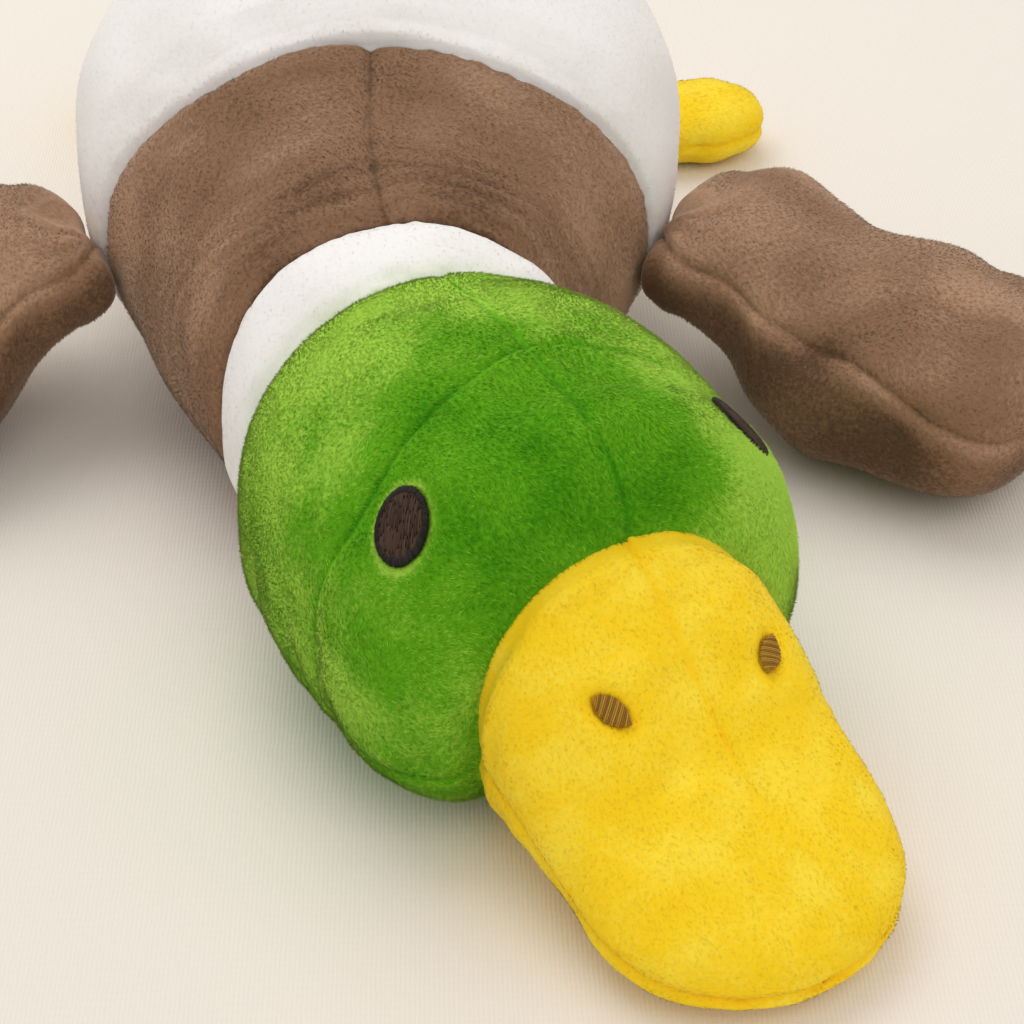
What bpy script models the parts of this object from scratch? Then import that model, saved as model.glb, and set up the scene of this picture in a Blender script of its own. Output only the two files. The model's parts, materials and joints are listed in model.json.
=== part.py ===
"""Stuffed mallard duck, lying on its belly with its head turned to its left.

Metres, +Z up. The duck faces -Y, its left side is +X, and it lies on Z = 0. Every stuffed form is
a surface of two numbers: a share of the way along the form, and an angle round it, counted from
the form's side over its top. Sewn panels are patches of that surface with the fabric's thickness,
and each stuffing is a closed body inside them.
"""

import math

import bpy
import bmesh
import numpy as np

# Fabric, seams and clearances
SKIN = 0.0024
SEAM_GAP = 0.0004
LIMB_SEAM_GAP = 0.0008
FILL_GAP = 0.0008
PRESS = 0.0005
OVERRUN = 0.004

# Torso, from the wing line back to the rump and forward to the collar
BODY_LENGTH = 0.222
BODY_WIDTH = 0.194
BODY_HEIGHT = 0.137
SHOULDER_WIDTH = 0.151
SHOULDER_HEIGHT = 0.116
CHEST_LENGTH = 0.054
BORDER_LEAN = 0.18
BELLY_BORDER_LEAN = -0.054
BELLY_SEAM_ANGLE = math.radians(18)

# Collar and neck
COLLAR_LENGTH = 0.026
COLLAR_WIDTH = 0.100
COLLAR_HEIGHT = 0.098
COLLAR_PUFF = 0.0012
COLLAR_LIFT = 0.004
COLLAR_LEAN = 0.06
NECK_WIDTH = 0.097
NECK_HEIGHT = 0.095
NECK_BEND_START = 0.005
NECK_BEND_LENGTH = 0.100
HEAD_TURN = math.radians(29.5)

# Head
HEAD_LENGTH = 0.106
HEAD_WIDTH = 0.1285
HEAD_HEIGHT = 0.0995
HEAD_SEAM_ANGLE = math.radians(20)
HEAD_MIDDLE_ANGLE = math.radians(85)

# Bill
BILL_LENGTH = 0.096
BILL_INSET = 0.018
BILL_WIDTH = 0.082
BILL_HEIGHT = 0.077

# Eyes and nostrils, embroidered into the pile
STITCH_SINK = 0.0012
EYE_LENGTH = 0.0194
EYE_WIDTH = 0.0132
EYE_SHARE = 0.47
EYE_ANGLE = math.radians(47)
EYE_TILT = math.radians(40)
NOSTRIL_LENGTH = 0.0100
NOSTRIL_WIDTH = 0.0058
NOSTRIL_SHARE = 0.232
NOSTRIL_ANGLE = math.radians(31)
NOSTRIL_TILT = math.radians(35)

# Wings
WING_LENGTH = 0.112
WING_WIDTH = 0.088
WING_THICKNESS = 0.058
WING_ROOT_RADIUS = 0.0165
WING_ROOT_WIDTH = 0.070
WING_ROOT_ANGLE = math.radians(-5)
WING_SWEEP = math.radians(27)
WING_PLACE = 0.024
WING_SINK = 0.0027

# Feet
FOOT_LENGTH = 0.062
FOOT_WIDTH = 0.044
FOOT_THICKNESS = 0.025
FOOT_ROOT_RADIUS = 0.0045
FOOT_ROOT_WIDTH = 0.018
FOOT_ROOT_ANGLE = math.radians(-20)
LEFT_FOOT_SWEEP = math.radians(-8)
RIGHT_FOOT_SWEEP = math.radians(-62)
FOOT_PLACE_SHARE = 0.734
LEFT_FOOT_SINK = 0.0014
RIGHT_FOOT_SINK = 0.0005

# Tail
TAIL_LENGTH = 0.040
TAIL_INSET = 0.016
TAIL_WIDTH = 0.062
TAIL_THICKNESS = 0.026

# Facets: round a ring, or over a limb's upper panel, over its lower panel and along it.
# An odd number below puts one facet flat on the floor.
ROUND_COLLAR = 20
ROUND_STITCH = 12
WING_FACETS = 8, 9, 8
FOOT_FACETS = 6, 5, 5
TAIL_FACETS = 5, 5, 3

# Section shapes
BACK_POWER = 2.1
BELLY_POWER = 2.4
CHIN_POWER = 2.8
MIDDLE_SHARE = 0.42
BILL_MIDDLE_SHARE = 0.26
FRONT_DROP_SHARE = 0.12
POLE_SHARE = 0.004
PROBE_SHARE = 0.0002
HALF_TURN = math.pi
QUARTER_TURN = math.pi / 2
UP = np.array([0.0, 0.0, 1.0])


def clear_scene():
    for obj in list(bpy.data.objects):
        bpy.data.objects.remove(obj, do_unlink=True)


def smooth(knots, values, at):
    """Curve through the points (knots, values) that never overshoots them, read at `at`."""
    knots, values = np.array(knots, float), np.array(values, float)
    step = np.diff(knots)
    slope = np.diff(values) / step
    before, after = slope[:-1], slope[1:]
    both = np.where(before * after > 0, before + after, 1)
    inner = np.where(before * after > 0, 2 * before * after / both, 0)
    tangent = np.concatenate([slope[:1], inner, slope[-1:]])
    i = np.clip(np.searchsorted(knots, at, side="right") - 1, 0, len(step) - 1)
    t = (at - knots[i]) / step[i]
    rise = values[i] + (values[i + 1] - values[i]) * t * t * (3 - 2 * t)
    return rise + step[i] * t * (1 - t) * (tangent[i] * (1 - t) - tangent[i + 1] * t)


def closing(share, power):
    """1 at share 0, rounding down to 0 at share 1, like a quarter of an oval."""
    return (1 - np.clip(share, 0, 1) ** power) ** (1 / power)


def on_spine(reach, side, height):
    """Point at a length forward of the wing line, a distance to the left and a height.

    The spine runs straight through the body, turns left along an arc and runs straight again."""
    turned = np.clip((reach - NECK_BEND_START) / NECK_BEND_LENGTH, 0, 1)
    heading = HEAD_TURN * turned
    radius = NECK_BEND_LENGTH / HEAD_TURN
    beyond = np.maximum(reach - NECK_BEND_START - NECK_BEND_LENGTH, 0)
    across = radius * (1 - np.cos(heading)) + beyond * math.sin(HEAD_TURN)
    forward = np.minimum(reach, NECK_BEND_START) + radius * np.sin(heading) + beyond * math.cos(HEAD_TURN)
    x = across + side * np.cos(heading)
    y = side * np.sin(heading) - forward
    return np.stack(np.broadcast_arrays(x, y, height), axis=-1)


def round_section(angle, power):
    """Side and height, from -1 to 1, of a rounded box outline at an angle."""
    side, height = np.cos(angle), np.sin(angle)
    size = (np.abs(side) ** power + np.abs(height) ** power) ** (-1 / power)
    return side * size, height * size


def section_point(reach, lean, half, bottom, top, angle, upper_power, lower_power):
    """Point of a section across the spine that leans back with height."""
    power = lower_power + (upper_power - lower_power) * (1 + np.sin(angle)) / 2
    side, height = round_section(angle, power)
    middle = bottom + MIDDLE_SHARE * (top - bottom)
    height = height * np.where(height > 0, top - middle, middle - bottom)
    return on_spine(reach - lean * height, side * half, middle + height)


def torso_section(reach, angle):
    """Torso outline, from the rump to the collar. Behind its first place the rump rounds off.

    The shares mix the sizes of the body, the shoulder and the collar."""
    place_shares = np.array([[-0.62, 0], [-0.30, 0], [-0.12, 0], [0, 0], [0, 0.5], [0, 1]])
    width_shares = np.array([[0.80, 0, 0], [0.975, 0, 0], [0.6, 0.4, 0], [0, 1, 0], [0, 0.46, 0.54], [0, 0, 1]])
    height_shares = np.array([[0.985, 0, 0], [1, 0, 0], [0.57, 0.43, 0], [0, 1, 0], [0, 0.37, 0.63], [0, 0, 1]])
    lift_shares = np.array([[0, -1], [0, -1], [0, -1], [0, -1], [0.05, -1], [1, 0]])
    places = place_shares @ [BODY_LENGTH, CHEST_LENGTH]
    rump = (places[0] - np.minimum(reach, places[0])) / (BODY_LENGTH + places[0])
    held = np.maximum(reach, places[0])
    half = smooth(places, width_shares @ [BODY_WIDTH, SHOULDER_WIDTH, COLLAR_WIDTH] / 2, held)
    top = smooth(places, height_shares @ [BODY_HEIGHT, SHOULDER_HEIGHT, COLLAR_HEIGHT], held)
    bottom = smooth(places, lift_shares @ [COLLAR_LIFT, PRESS], held)
    middle = bottom + MIDDLE_SHARE * (top - bottom)
    top = middle + (top - middle) * closing(rump, 2.0)
    bottom = middle + (bottom - middle) * closing(rump, 2.4)
    lean = np.where(np.sin(angle) > 0, BORDER_LEAN, BELLY_BORDER_LEAN)
    lean = lean * (1 + np.cos(HALF_TURN * np.clip(reach / CHEST_LENGTH, -1, 1))) / 2
    lean = lean + COLLAR_LEAN * np.clip(reach / CHEST_LENGTH, 0, 1)
    return section_point(reach, lean, half * closing(rump, 1.9), bottom, top, angle, BACK_POWER, BELLY_POWER)


def body_surface(share, angle):
    """White body: share 0 is the rump, share 1 the border at the wing line."""
    return torso_section(-BODY_LENGTH * np.cos(share * QUARTER_TURN), angle)


def chest_surface(share, angle):
    """Brown chest: share 0 is the border at the wing line, share 1 the collar."""
    return torso_section(CHEST_LENGTH * share, angle)


def collar_surface(share, angle):
    """White collar band, a little puffed between its two seams."""
    puff = COLLAR_PUFF * 4 * share * (1 - share)
    half = COLLAR_WIDTH / 2 + (NECK_WIDTH - COLLAR_WIDTH) / 2 * share + puff
    top = COLLAR_HEIGHT + (NECK_HEIGHT - COLLAR_HEIGHT) * share + puff
    reach = CHEST_LENGTH + COLLAR_LENGTH * share
    return section_point(reach, COLLAR_LEAN, half, COLLAR_LIFT - puff, top, angle, BACK_POWER, BELLY_POWER)


def head_surface(share, angle):
    """Green head: share 0 is the collar's seam, share 1 the front, which the bill covers."""
    place_shares = [0, 0.08, 0.22, 0.42, 0.60]
    width_shares = np.array([[1, 0], [0, 0.87], [0, 0.955], [0, 1], [0, 1]])
    height_shares = np.array([[1, 0], [0, 0.98], [0, 1], [0, 0.995], [0, 0.955]])
    lift_shares = np.array([[1, 0], [0.5, 0], [0, -1], [0, -1], [0, -1]])
    place = np.sin(np.clip(share, 0, 1) * QUARTER_TURN)
    front = (np.maximum(place, place_shares[-1]) - place_shares[-1]) / (1 - place_shares[-1])
    held = np.minimum(place, place_shares[-1])
    half = smooth(place_shares, width_shares @ [NECK_WIDTH, HEAD_WIDTH] / 2, held) * closing(front, 2.9)
    top = smooth(place_shares, height_shares @ [NECK_HEIGHT, HEAD_HEIGHT], held)
    bottom = smooth(place_shares, lift_shares @ [COLLAR_LIFT, PRESS], held)
    middle = (bottom + MIDDLE_SHARE * (top - bottom)) * (1 - FRONT_DROP_SHARE * front)
    top = middle + (top - middle) * closing(front, 1.85)
    bottom = middle + (bottom - middle) * closing(front, 3.2)
    reach = CHEST_LENGTH + COLLAR_LENGTH + HEAD_LENGTH * place
    grown = np.clip(place / place_shares[2], 0, 1)
    chin_power = BELLY_POWER + (CHIN_POWER - BELLY_POWER) * grown
    return section_point(reach, COLLAR_LEAN * (1 - grown), half, bottom, top, angle, BACK_POWER, chin_power)


def bill_surface(share, angle):
    """Yellow bill: share 0 lies inside the head, share 1 is the tip."""
    place_shares = [0, 0.25, 0.55, 0.75, 1.0]
    width_shares = np.array([1.04, 1.035, 1.0, 1.0, 0.93])
    height_shares = np.array([1.0, 0.80, 0.51, 0.39, 0.30])
    place = np.sin(np.clip(share, 0, 1) * QUARTER_TURN)
    tip = (np.maximum(place, place_shares[2]) - place_shares[2]) / (1 - place_shares[2])
    round_off, flat_off = closing(tip, 2.3), closing(tip, 3.0)
    half = smooth(place_shares, BILL_WIDTH / 2 * width_shares, place) * round_off
    top = smooth(place_shares, BILL_HEIGHT * height_shares, place)
    middle = np.minimum(MIDDLE_SHARE * top, BILL_MIDDLE_SHARE * BILL_HEIGHT)
    top = middle + (top - middle) * flat_off
    bottom = middle - (middle + PRESS) * flat_off
    reach = CHEST_LENGTH + COLLAR_LENGTH + HEAD_LENGTH - BILL_INSET + BILL_LENGTH * place
    return section_point(reach, 0, half, bottom, top, angle, 2.3, 2.6)


def paddle_surface(seat, outward, sizes, table_shares, settled_share, rest_height):
    """Surface of a flat stuffed limb that grows from a sewn root.

    The seat is a point on its hinge line. The root is round about that line, the limb widens and
    thickens, and its far end is an oval. Its middle sinks from the seat's height to rest_height.
    Each row of the table gives a place along the limb, then shares of its width, thickness and
    width again, for the outline, the padding and how far the middle lies to the side."""
    length, width, thickness, radius, root_width = sizes
    places, width_shares, depth_shares, shift_shares = np.array(table_shares).T
    side, last = np.cross(UP, outward), places[-1]
    widths = np.concatenate([[root_width], width * width_shares[1:]])
    depths = np.concatenate([[2 * radius], thickness * depth_shares[1:]])

    def surface(share, angle):
        place = -radius / length + (1 + radius / length) * (1 - np.cos(share * HALF_TURN)) / 2
        far = (np.maximum(place, last) - last) / (1 - last)
        near = np.clip(-place * length / radius, 0, 1)
        held = np.clip(place, 0, last)
        half = smooth(places, widths, held) / 2 * closing(far, 2.2) * closing(near, 3)
        deep = smooth(places, depths, held) / 2 * closing(far, 2.8) * closing(near, 2)
        shift = smooth(places, width * shift_shares, held)
        sinking = np.clip(place / settled_share, 0, 1)
        level = seat[2] + (rest_height - seat[2]) * sinking * sinking * (3 - 2 * sinking)
        across, up = round_section(angle, 2.2)
        flat = outward * (place * length)[..., None] + side * (across * half + shift)[..., None]
        return seat + flat + UP * (level - seat[2] + up * deep)[..., None]

    return surface


def normals_of(surface, share, angle):
    """Outward unit normals of a surface, from points a little apart on it."""
    share, angle = np.broadcast_arrays(share, angle)
    low, high = np.maximum(share - PROBE_SHARE, 0), np.minimum(share + PROBE_SHARE, 1)
    along = surface(high, angle) - surface(low, angle)
    around = surface(share, angle + PROBE_SHARE) - surface(share, angle - PROBE_SHARE)
    normal = np.cross(around, along)
    return normal / np.maximum(np.linalg.norm(normal, axis=-1, keepdims=True), 1e-18)


def sunk(surface, share, angle, depth, floor=0.0):
    """Points of a surface moved in by a depth, and kept the same depth above the floor."""
    share, angle = np.broadcast_arrays(np.asarray(share, float), np.asarray(angle, float))
    points = surface(share, angle) - normals_of(surface, share, angle) * np.asarray(depth)[..., None]
    points[..., 2] = np.maximum(points[..., 2], floor + depth)
    return points


def finish_object(name, bm, material):
    bmesh.ops.recalc_face_normals(bm, faces=bm.faces)
    mesh = bpy.data.meshes.new(name)
    bm.to_mesh(mesh)
    bm.free()
    mesh.shade_smooth()
    mesh.set_sharp_from_angle(angle=math.radians(50))
    obj = bpy.data.objects.new(name, mesh)
    bpy.context.scene.collection.objects.link(obj)
    if material:
        obj.data.materials.append(material)
    else:
        obj.hide_render = True
        obj.display_type = "WIRE"
    return obj


def grid_faces(rows, columns, closed):
    """Four corners of each cell of a grid of numbered points."""
    i, j = np.meshgrid(np.arange(rows - 1), np.arange(columns - (not closed)), indexing="ij")
    i, j, k = i.ravel(), j.ravel(), (j.ravel() + 1) % columns
    return np.stack([i * columns + j, (i + 1) * columns + j, (i + 1) * columns + k, i * columns + k], 1)


def ring_angles(*patches):
    """Angles of a whole ring, with a point on each seam. A patch is (start, end, facets)."""
    return np.concatenate([np.linspace(start, end, count, endpoint=False) for start, end, count in patches])


def fill_body(name, surface, stops, angles, depth, material, floor=0.0):
    """Closed body at a depth under a surface: rings at the stops, with both ends capped."""
    count = len(angles)
    rings = sunk(surface, np.array(stops)[:, None], angles[None, :], depth, floor)
    bm = bmesh.new()
    points = [bm.verts.new(point) for point in rings.reshape(-1, 3)]
    for corners in grid_faces(len(stops), count, closed=True):
        bm.faces.new([points[k] for k in corners])
    for ring, first in ((rings[0], 0), (rings[-1], (len(stops) - 1) * count)):
        centre = bm.verts.new(ring.mean(axis=0))
        for k in range(count):
            bm.faces.new([centre, points[first + k], points[first + (k + 1) % count]])
    return finish_object(name, bm, material)


def panel_grid(surface, start, end, along, patch, gap):
    """Shares and angles of a patch's grid, drawn back from its seams by half the gap.

    start and end are shares, or functions of the angle. A patch all the way round has no side seams."""
    low, high, around = patch
    closed = high - low > 2 * HALF_TURN - PROBE_SHARE
    angles = np.linspace(low, high, around + 1)[: around if closed else None]
    first = start(angles) if callable(start) else np.full_like(angles, start)
    last = end(angles) if callable(end) else np.full_like(angles, end)
    shares = first + (last - first) * np.linspace(0, 1, along + 1)[:, None]
    angles = np.broadcast_to(angles, shares.shape)
    if not closed:
        for side in (0, -1):
            share, angle = shares[:, side], angles[:, side]
            pace = np.linalg.norm(surface(share, angle + PROBE_SHARE) - surface(share, angle - PROBE_SHARE), axis=1)
            back = np.minimum(gap * PROBE_SHARE / pace, (high - low) / around / 3)
            place = np.linspace(0, 1, around + 1)
            angles = angles + (back[:, None] * (1 - place) if side == 0 else -back[:, None] * place)
    return shares, angles, closed


def panel(name, surface, start, end, along, patch, material, gap=SEAM_GAP):
    """Fabric panel: a patch of a surface, as thick as the skin."""
    shares, angles, closed = panel_grid(surface, start, end, along, patch, gap)
    outer, inner = (sunk(surface, shares, angles, depth) for depth in (0.0, SKIN))
    rows, columns = shares.shape
    size = rows * columns
    edge = [(k, k + 1) for k in range(columns - 1)] + ([(columns - 1, 0)] if closed else [])
    rim = edge + [(b + size - columns, a + size - columns) for a, b in edge]
    if not closed:
        for here in range(0, size - columns, columns):
            rim += [(here + columns, here), (here + columns - 1, here + 2 * columns - 1)]
    bm = bmesh.new()
    points = [bm.verts.new(point) for point in np.concatenate([outer.reshape(-1, 3), inner.reshape(-1, 3)])]
    for corners in grid_faces(rows, columns, closed):
        bm.faces.new([points[k] for k in corners])
        bm.faces.new([points[k + size] for k in corners[::-1]])
    for a, b in rim:
        bm.faces.new([points[a], points[b], points[b + size], points[a + size]])
    return finish_object(name, bm, material)


def stitched_patch(name, surface, place, reach, slimness, lower, upper, material):
    """Domed oval patch on a surface, turned about its place, between a lower and an upper depth."""
    share, angle, turn = place
    half_share, half_angle = reach
    around = np.arange(ROUND_STITCH) * 2 * math.pi / ROUND_STITCH
    bm = bmesh.new()
    rings = []
    for size, depth in ((1.0, lower), (1.0, upper + (lower - upper) * 0.4), (0.6, upper)):
        along, across = size * np.cos(around), size * np.sin(around)
        turned_along = along * math.cos(turn) - across * math.sin(turn) * slimness
        turned_across = along * math.sin(turn) / slimness + across * math.cos(turn)
        at = share + half_share * turned_along, angle + half_angle * turned_across
        rings.append([bm.verts.new(point) for point in sunk(surface, at[0], at[1], depth)])
    for low, high in zip(rings, rings[1:]):
        for k in range(ROUND_STITCH):
            j = (k + 1) % ROUND_STITCH
            bm.faces.new([low[k], low[j], high[j], high[k]])
    for ring, depth in ((rings[0], lower), (rings[-1], upper)):
        centre = bm.verts.new(sunk(surface, share, angle, depth))
        for k in range(ROUND_STITCH):
            bm.faces.new([centre, ring[k], ring[(k + 1) % ROUND_STITCH]])
    return finish_object(name, bm, material)


def cut(obj, cutter):
    modifier = obj.modifiers.new("cut by " + cutter.name, "BOOLEAN")
    modifier.operation = "DIFFERENCE"
    modifier.solver = "EXACT"
    modifier.object = cutter


def fabric(name, colour, roughness):
    material = bpy.data.materials.new(name)
    material.use_nodes = True
    shader = material.node_tree.nodes["Principled BSDF"]
    shader.inputs["Base Color"].default_value = (*colour, 1)
    shader.inputs["Roughness"].default_value = roughness
    shader.inputs["Metallic"].default_value = 0
    return material


def crown_seam(angle):
    """Share of the head where the seam from the crown down behind the eyes crosses an angle."""
    down_shares = [0, 0.25, 0.5, 0.75, 1]
    seam_shares = [0.273, 0.328, 0.388, 0.385, 0.37]
    return smooth(down_shares, seam_shares, np.abs(np.sin((angle - HEAD_MIDDLE_ANGLE) / 2)))


def place_head_turn():
    """Foot of the line that the head turns about, in the middle of the collar."""
    return on_spine(CHEST_LENGTH + COLLAR_LENGTH / 2, 0, 0)


def seat_on_body(place_share, angle, clearance):
    """Hinge point at a clearance off the body, a share of it behind the wing line, at an angle."""
    share = math.acos(place_share) / QUARTER_TURN
    point = body_surface(np.array(share), np.array(angle))
    return point + normals_of(body_surface, share, angle) * clearance


def level_direction(sign, sweep):
    """Level direction out to the left (sign 1) or right (-1), swept forward by an angle."""
    return np.array([sign * math.cos(sweep), -math.sin(sweep), 0.0])


def make_body(white, stuffing):
    """White body: a back panel, a belly panel and the stuffing. Also the cutter for the tail."""
    lap = BELLY_SEAM_ANGLE
    back, belly = (-lap, HALF_TURN + lap, 12), (HALF_TURN + lap, 2 * HALF_TURN - lap, 7)
    ends = POLE_SHARE, 1 - SEAM_GAP / BODY_LENGTH / HALF_TURN
    stops, angles = np.linspace(*ends, 9), ring_angles(back, belly)
    made = [
        panel("body_back_panel", body_surface, *ends, 8, back, white),
        panel("body_belly_panel", body_surface, *ends, 8, belly, white),
        fill_body("body_stuffing", body_surface, stops, angles, SKIN + FILL_GAP, stuffing),
    ]
    return made, fill_body("rump", body_surface, stops, angles, -SEAM_GAP, None, -OVERRUN)


def make_chest(brown, stuffing):
    """Brown chest: two halves joined along the top and the belly, and the stuffing."""
    edge = SEAM_GAP / 2 / CHEST_LENGTH
    left, right = (-QUARTER_TURN, QUARTER_TURN, 10), (QUARTER_TURN, 3 * QUARTER_TURN, 10)
    stops, angles = np.linspace(edge, 1 - edge, 4), ring_angles(left, right)
    return [
        panel("chest_left", chest_surface, edge, 1 - edge, 3, left, brown),
        panel("chest_right", chest_surface, edge, 1 - edge, 3, right, brown),
        fill_body("chest_stuffing", chest_surface, stops, angles, SKIN + FILL_GAP, stuffing),
    ]


def make_collar(white, stuffing):
    """White collar: one band sewn into a ring, round the stuffed neck."""
    edge = SEAM_GAP / 2 / COLLAR_LENGTH
    whole = 0, 2 * HALF_TURN, ROUND_COLLAR
    stops, angles = np.linspace(edge, 1 - edge, 3), ring_angles(whole)
    return [
        panel("neck_collar", collar_surface, edge, 1 - edge, 2, whole, white),
        fill_body("neck_stuffing", collar_surface, stops, angles, SKIN + FILL_GAP, stuffing),
    ]


def make_head(green, stuffing):
    """Green head: two panels a side that meet at the crown seam, one under panel, the stuffing."""
    lap, edge = HEAD_SEAM_ANGLE, SEAM_GAP / HEAD_LENGTH / HALF_TURN
    start, end = edge, 1 - POLE_SHARE
    patches = {
        "left": (-lap, HEAD_MIDDLE_ANGLE, 7),
        "right": (HEAD_MIDDLE_ANGLE, HALF_TURN + lap, 7),
        "under": (HALF_TURN + lap, 2 * HALF_TURN - lap, 7),
    }
    angles = ring_angles(*patches.values())
    made = [fill_body("head_stuffing", head_surface, np.linspace(start, end, 13), angles,
                      SKIN + FILL_GAP, stuffing)]
    for side in ("left", "right"):
        made.append(panel("head_back_" + side, head_surface, start, lambda a: crown_seam(a) - edge,
                          5, patches[side], green))
        made.append(panel("head_front_" + side, head_surface, lambda a: crown_seam(a) + edge, end,
                          7, patches[side], green))
    made.append(panel("head_under_panel", head_surface, start, end, 12, patches["under"], green))
    return made, fill_body("head_inside", head_surface, np.linspace(0, end, 13), angles, SKIN, None, -OVERRUN)


def make_bill(yellow, stuffing):
    """Yellow bill: two upper panels, a lower one and the stuffing. Also the cutter for the head."""
    start, end = SEAM_GAP / BILL_LENGTH, 1 - POLE_SHARE
    patches = {
        "bill_upper_left": (0, HEAD_MIDDLE_ANGLE, 5),
        "bill_upper_right": (HEAD_MIDDLE_ANGLE, HALF_TURN, 5),
        "bill_lower": (HALF_TURN, 2 * HALF_TURN, 9),
    }
    stops, angles = np.linspace(start, end, 9), ring_angles(*patches.values())
    made = [panel(name, bill_surface, start, end, 8, patch, yellow) for name, patch in patches.items()]
    made.append(fill_body("bill_stuffing", bill_surface, stops, angles, SKIN + FILL_GAP, stuffing))
    stops = np.concatenate([[0], stops[1:]])
    return made, fill_body("bill_opening", bill_surface, stops, angles, -SEAM_GAP, None, -OVERRUN)


def patch_reach(surface, share, angle, length, height):
    """Half sizes of a patch, as a share along the form and an angle round it."""
    at = [(share + PROBE_SHARE, angle), (share - PROBE_SHARE, angle), (share, angle + PROBE_SHARE), (share, angle - PROBE_SHARE)]
    a, b, c, d = (surface(np.array(u), np.array(v)) for u, v in at)
    return PROBE_SHARE * length / np.linalg.norm(a - b), PROBE_SHARE * height / np.linalg.norm(c - d)


def stitch(name, panel_object, surface, place, size, thread):
    """Embroidered patch sunk in the pile, in a recess that it is stitched down into."""
    reach = patch_reach(surface, place[0], place[1], *size)
    wider = [half * (1 + 2 * SEAM_GAP / min(size)) for half in reach]
    slimness = size[1] / size[0]
    recess = stitched_patch(name + "_recess", surface, place, wider, slimness, STITCH_SINK, -OVERRUN, None)
    cut(panel_object, recess)
    patch = stitched_patch(name, surface, place, reach, slimness, STITCH_SINK - SEAM_GAP, 0.0, thread)
    return patch, recess


def make_stitching(dark, olive, pieces):
    """Two eyes on the head's front panels, two nostrils on the bill's upper panels."""
    made, cutters = [], []
    for side, sign in (("left", 1), ("right", -1)):
        eye = EYE_SHARE, HEAD_MIDDLE_ANGLE - sign * EYE_ANGLE, -sign * EYE_TILT
        nostril = NOSTRIL_SHARE, HEAD_MIDDLE_ANGLE - sign * NOSTRIL_ANGLE, sign * NOSTRIL_TILT
        sewn = [
            ("eye_" + side, "head_front_" + side, head_surface, eye, (EYE_LENGTH, EYE_WIDTH), dark),
            ("nostril_" + side, "bill_upper_" + side, bill_surface, nostril, (NOSTRIL_LENGTH, NOSTRIL_WIDTH), olive),
        ]
        for name, carrier, surface, place, size, thread in sewn:
            patch, recess = stitch(name, pieces[carrier], surface, place, size, thread)
            made.append(patch)
            cutters.append(recess)
    return made, cutters


def make_limb(name, surface, count, cloth, stuffing):
    """Stuffed limb: an upper and a lower panel sewn along the edge, and the stuffing."""
    start, end = POLE_SHARE, 1 - POLE_SHARE
    above, below, along = count
    upper, lower = (0, HALF_TURN, above), (HALF_TURN, 2 * HALF_TURN, below)
    stops, angles = np.linspace(start, end, along + 1), ring_angles(upper, lower)
    return [
        panel(name + "_upper", surface, start, end, along, upper, cloth, LIMB_SEAM_GAP),
        panel(name + "_lower", surface, start, end, along, lower, cloth, LIMB_SEAM_GAP),
        fill_body(name + "_stuffing", surface, stops, angles, SKIN + FILL_GAP, stuffing),
    ]


def wing_surface(sign):
    """Wing on the left (sign 1) or right (-1), a fat paddle whose back shoulder swells first."""
    angle = QUARTER_TURN - sign * (QUARTER_TURN - WING_ROOT_ANGLE)
    seat = seat_on_body(WING_PLACE / BODY_LENGTH, angle, WING_ROOT_RADIUS + SEAM_GAP - WING_SINK)
    outward = level_direction(sign, WING_SWEEP)
    table_shares = [
        (0.00, 0.00, 0.00, 0.00),
        (0.12, 0.90, 0.76, 0.03 * sign),
        (0.26, 0.97, 0.91, -0.03 * sign),
        (0.45, 1.00, 1.00, -0.07 * sign),
        (0.60, 1.00, 1.00, -0.09 * sign),
        (0.74, 0.96, 0.94, -0.14 * sign),
    ]
    sizes = WING_LENGTH, WING_WIDTH, WING_THICKNESS, WING_ROOT_RADIUS, WING_ROOT_WIDTH
    rest_height = WING_THICKNESS / 2 - PRESS
    return seat, outward, paddle_surface(seat, outward, sizes, table_shares, 0.45, rest_height)


def foot_surface(sign):
    """Foot on the left (sign 1) or right (-1), a small oval pad."""
    angle = QUARTER_TURN - sign * (QUARTER_TURN - FOOT_ROOT_ANGLE)
    sweep, sink = (LEFT_FOOT_SWEEP, LEFT_FOOT_SINK) if sign > 0 else (RIGHT_FOOT_SWEEP, RIGHT_FOOT_SINK)
    seat = seat_on_body(FOOT_PLACE_SHARE, angle, FOOT_ROOT_RADIUS + SEAM_GAP - sink)
    outward = level_direction(sign, sweep)
    table_shares = [(0, 0, 0, 0), (0.15, 0.66, 0.60, 0), (0.35, 0.90, 0.92, 0), (0.60, 1, 1, 0)]
    sizes = FOOT_LENGTH, FOOT_WIDTH, FOOT_THICKNESS, FOOT_ROOT_RADIUS, FOOT_ROOT_WIDTH
    rest_height = FOOT_THICKNESS / 2 - PRESS
    return seat, outward, paddle_surface(seat, outward, sizes, table_shares, 0.40, rest_height)


def make_tail(white, stuffing):
    """Short white tail that grows from the rump and tips up."""
    seat = on_spine(TAIL_INSET - BODY_LENGTH, 0, MIDDLE_SHARE * BODY_HEIGHT)
    table_shares = [(0, 0, 0, 0), (0.30, 1, 1, 0), (0.55, 0.92, 0.85, 0)]
    sizes = TAIL_LENGTH, TAIL_WIDTH, TAIL_THICKNESS, TAIL_THICKNESS / 2, TAIL_WIDTH
    raised = seat[2] + TAIL_THICKNESS / 2
    surface = paddle_surface(seat, np.array([0.0, 1.0, 0.0]), sizes, table_shares, 1.0, raised)
    return make_limb("tail", surface, TAIL_FACETS, white, stuffing)


def hold(name, place, pieces, parent=None):
    """Empty at a hinge point, or at the origin, that carries pieces modelled in place."""
    empty = bpy.data.objects.new(name, None)
    bpy.context.scene.collection.objects.link(empty)
    empty.parent = parent
    empty.location = place
    bpy.context.view_layer.update()
    for piece in pieces:
        piece.parent = empty
        piece.matrix_parent_inverse.translation = -empty.location
    return empty


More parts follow.
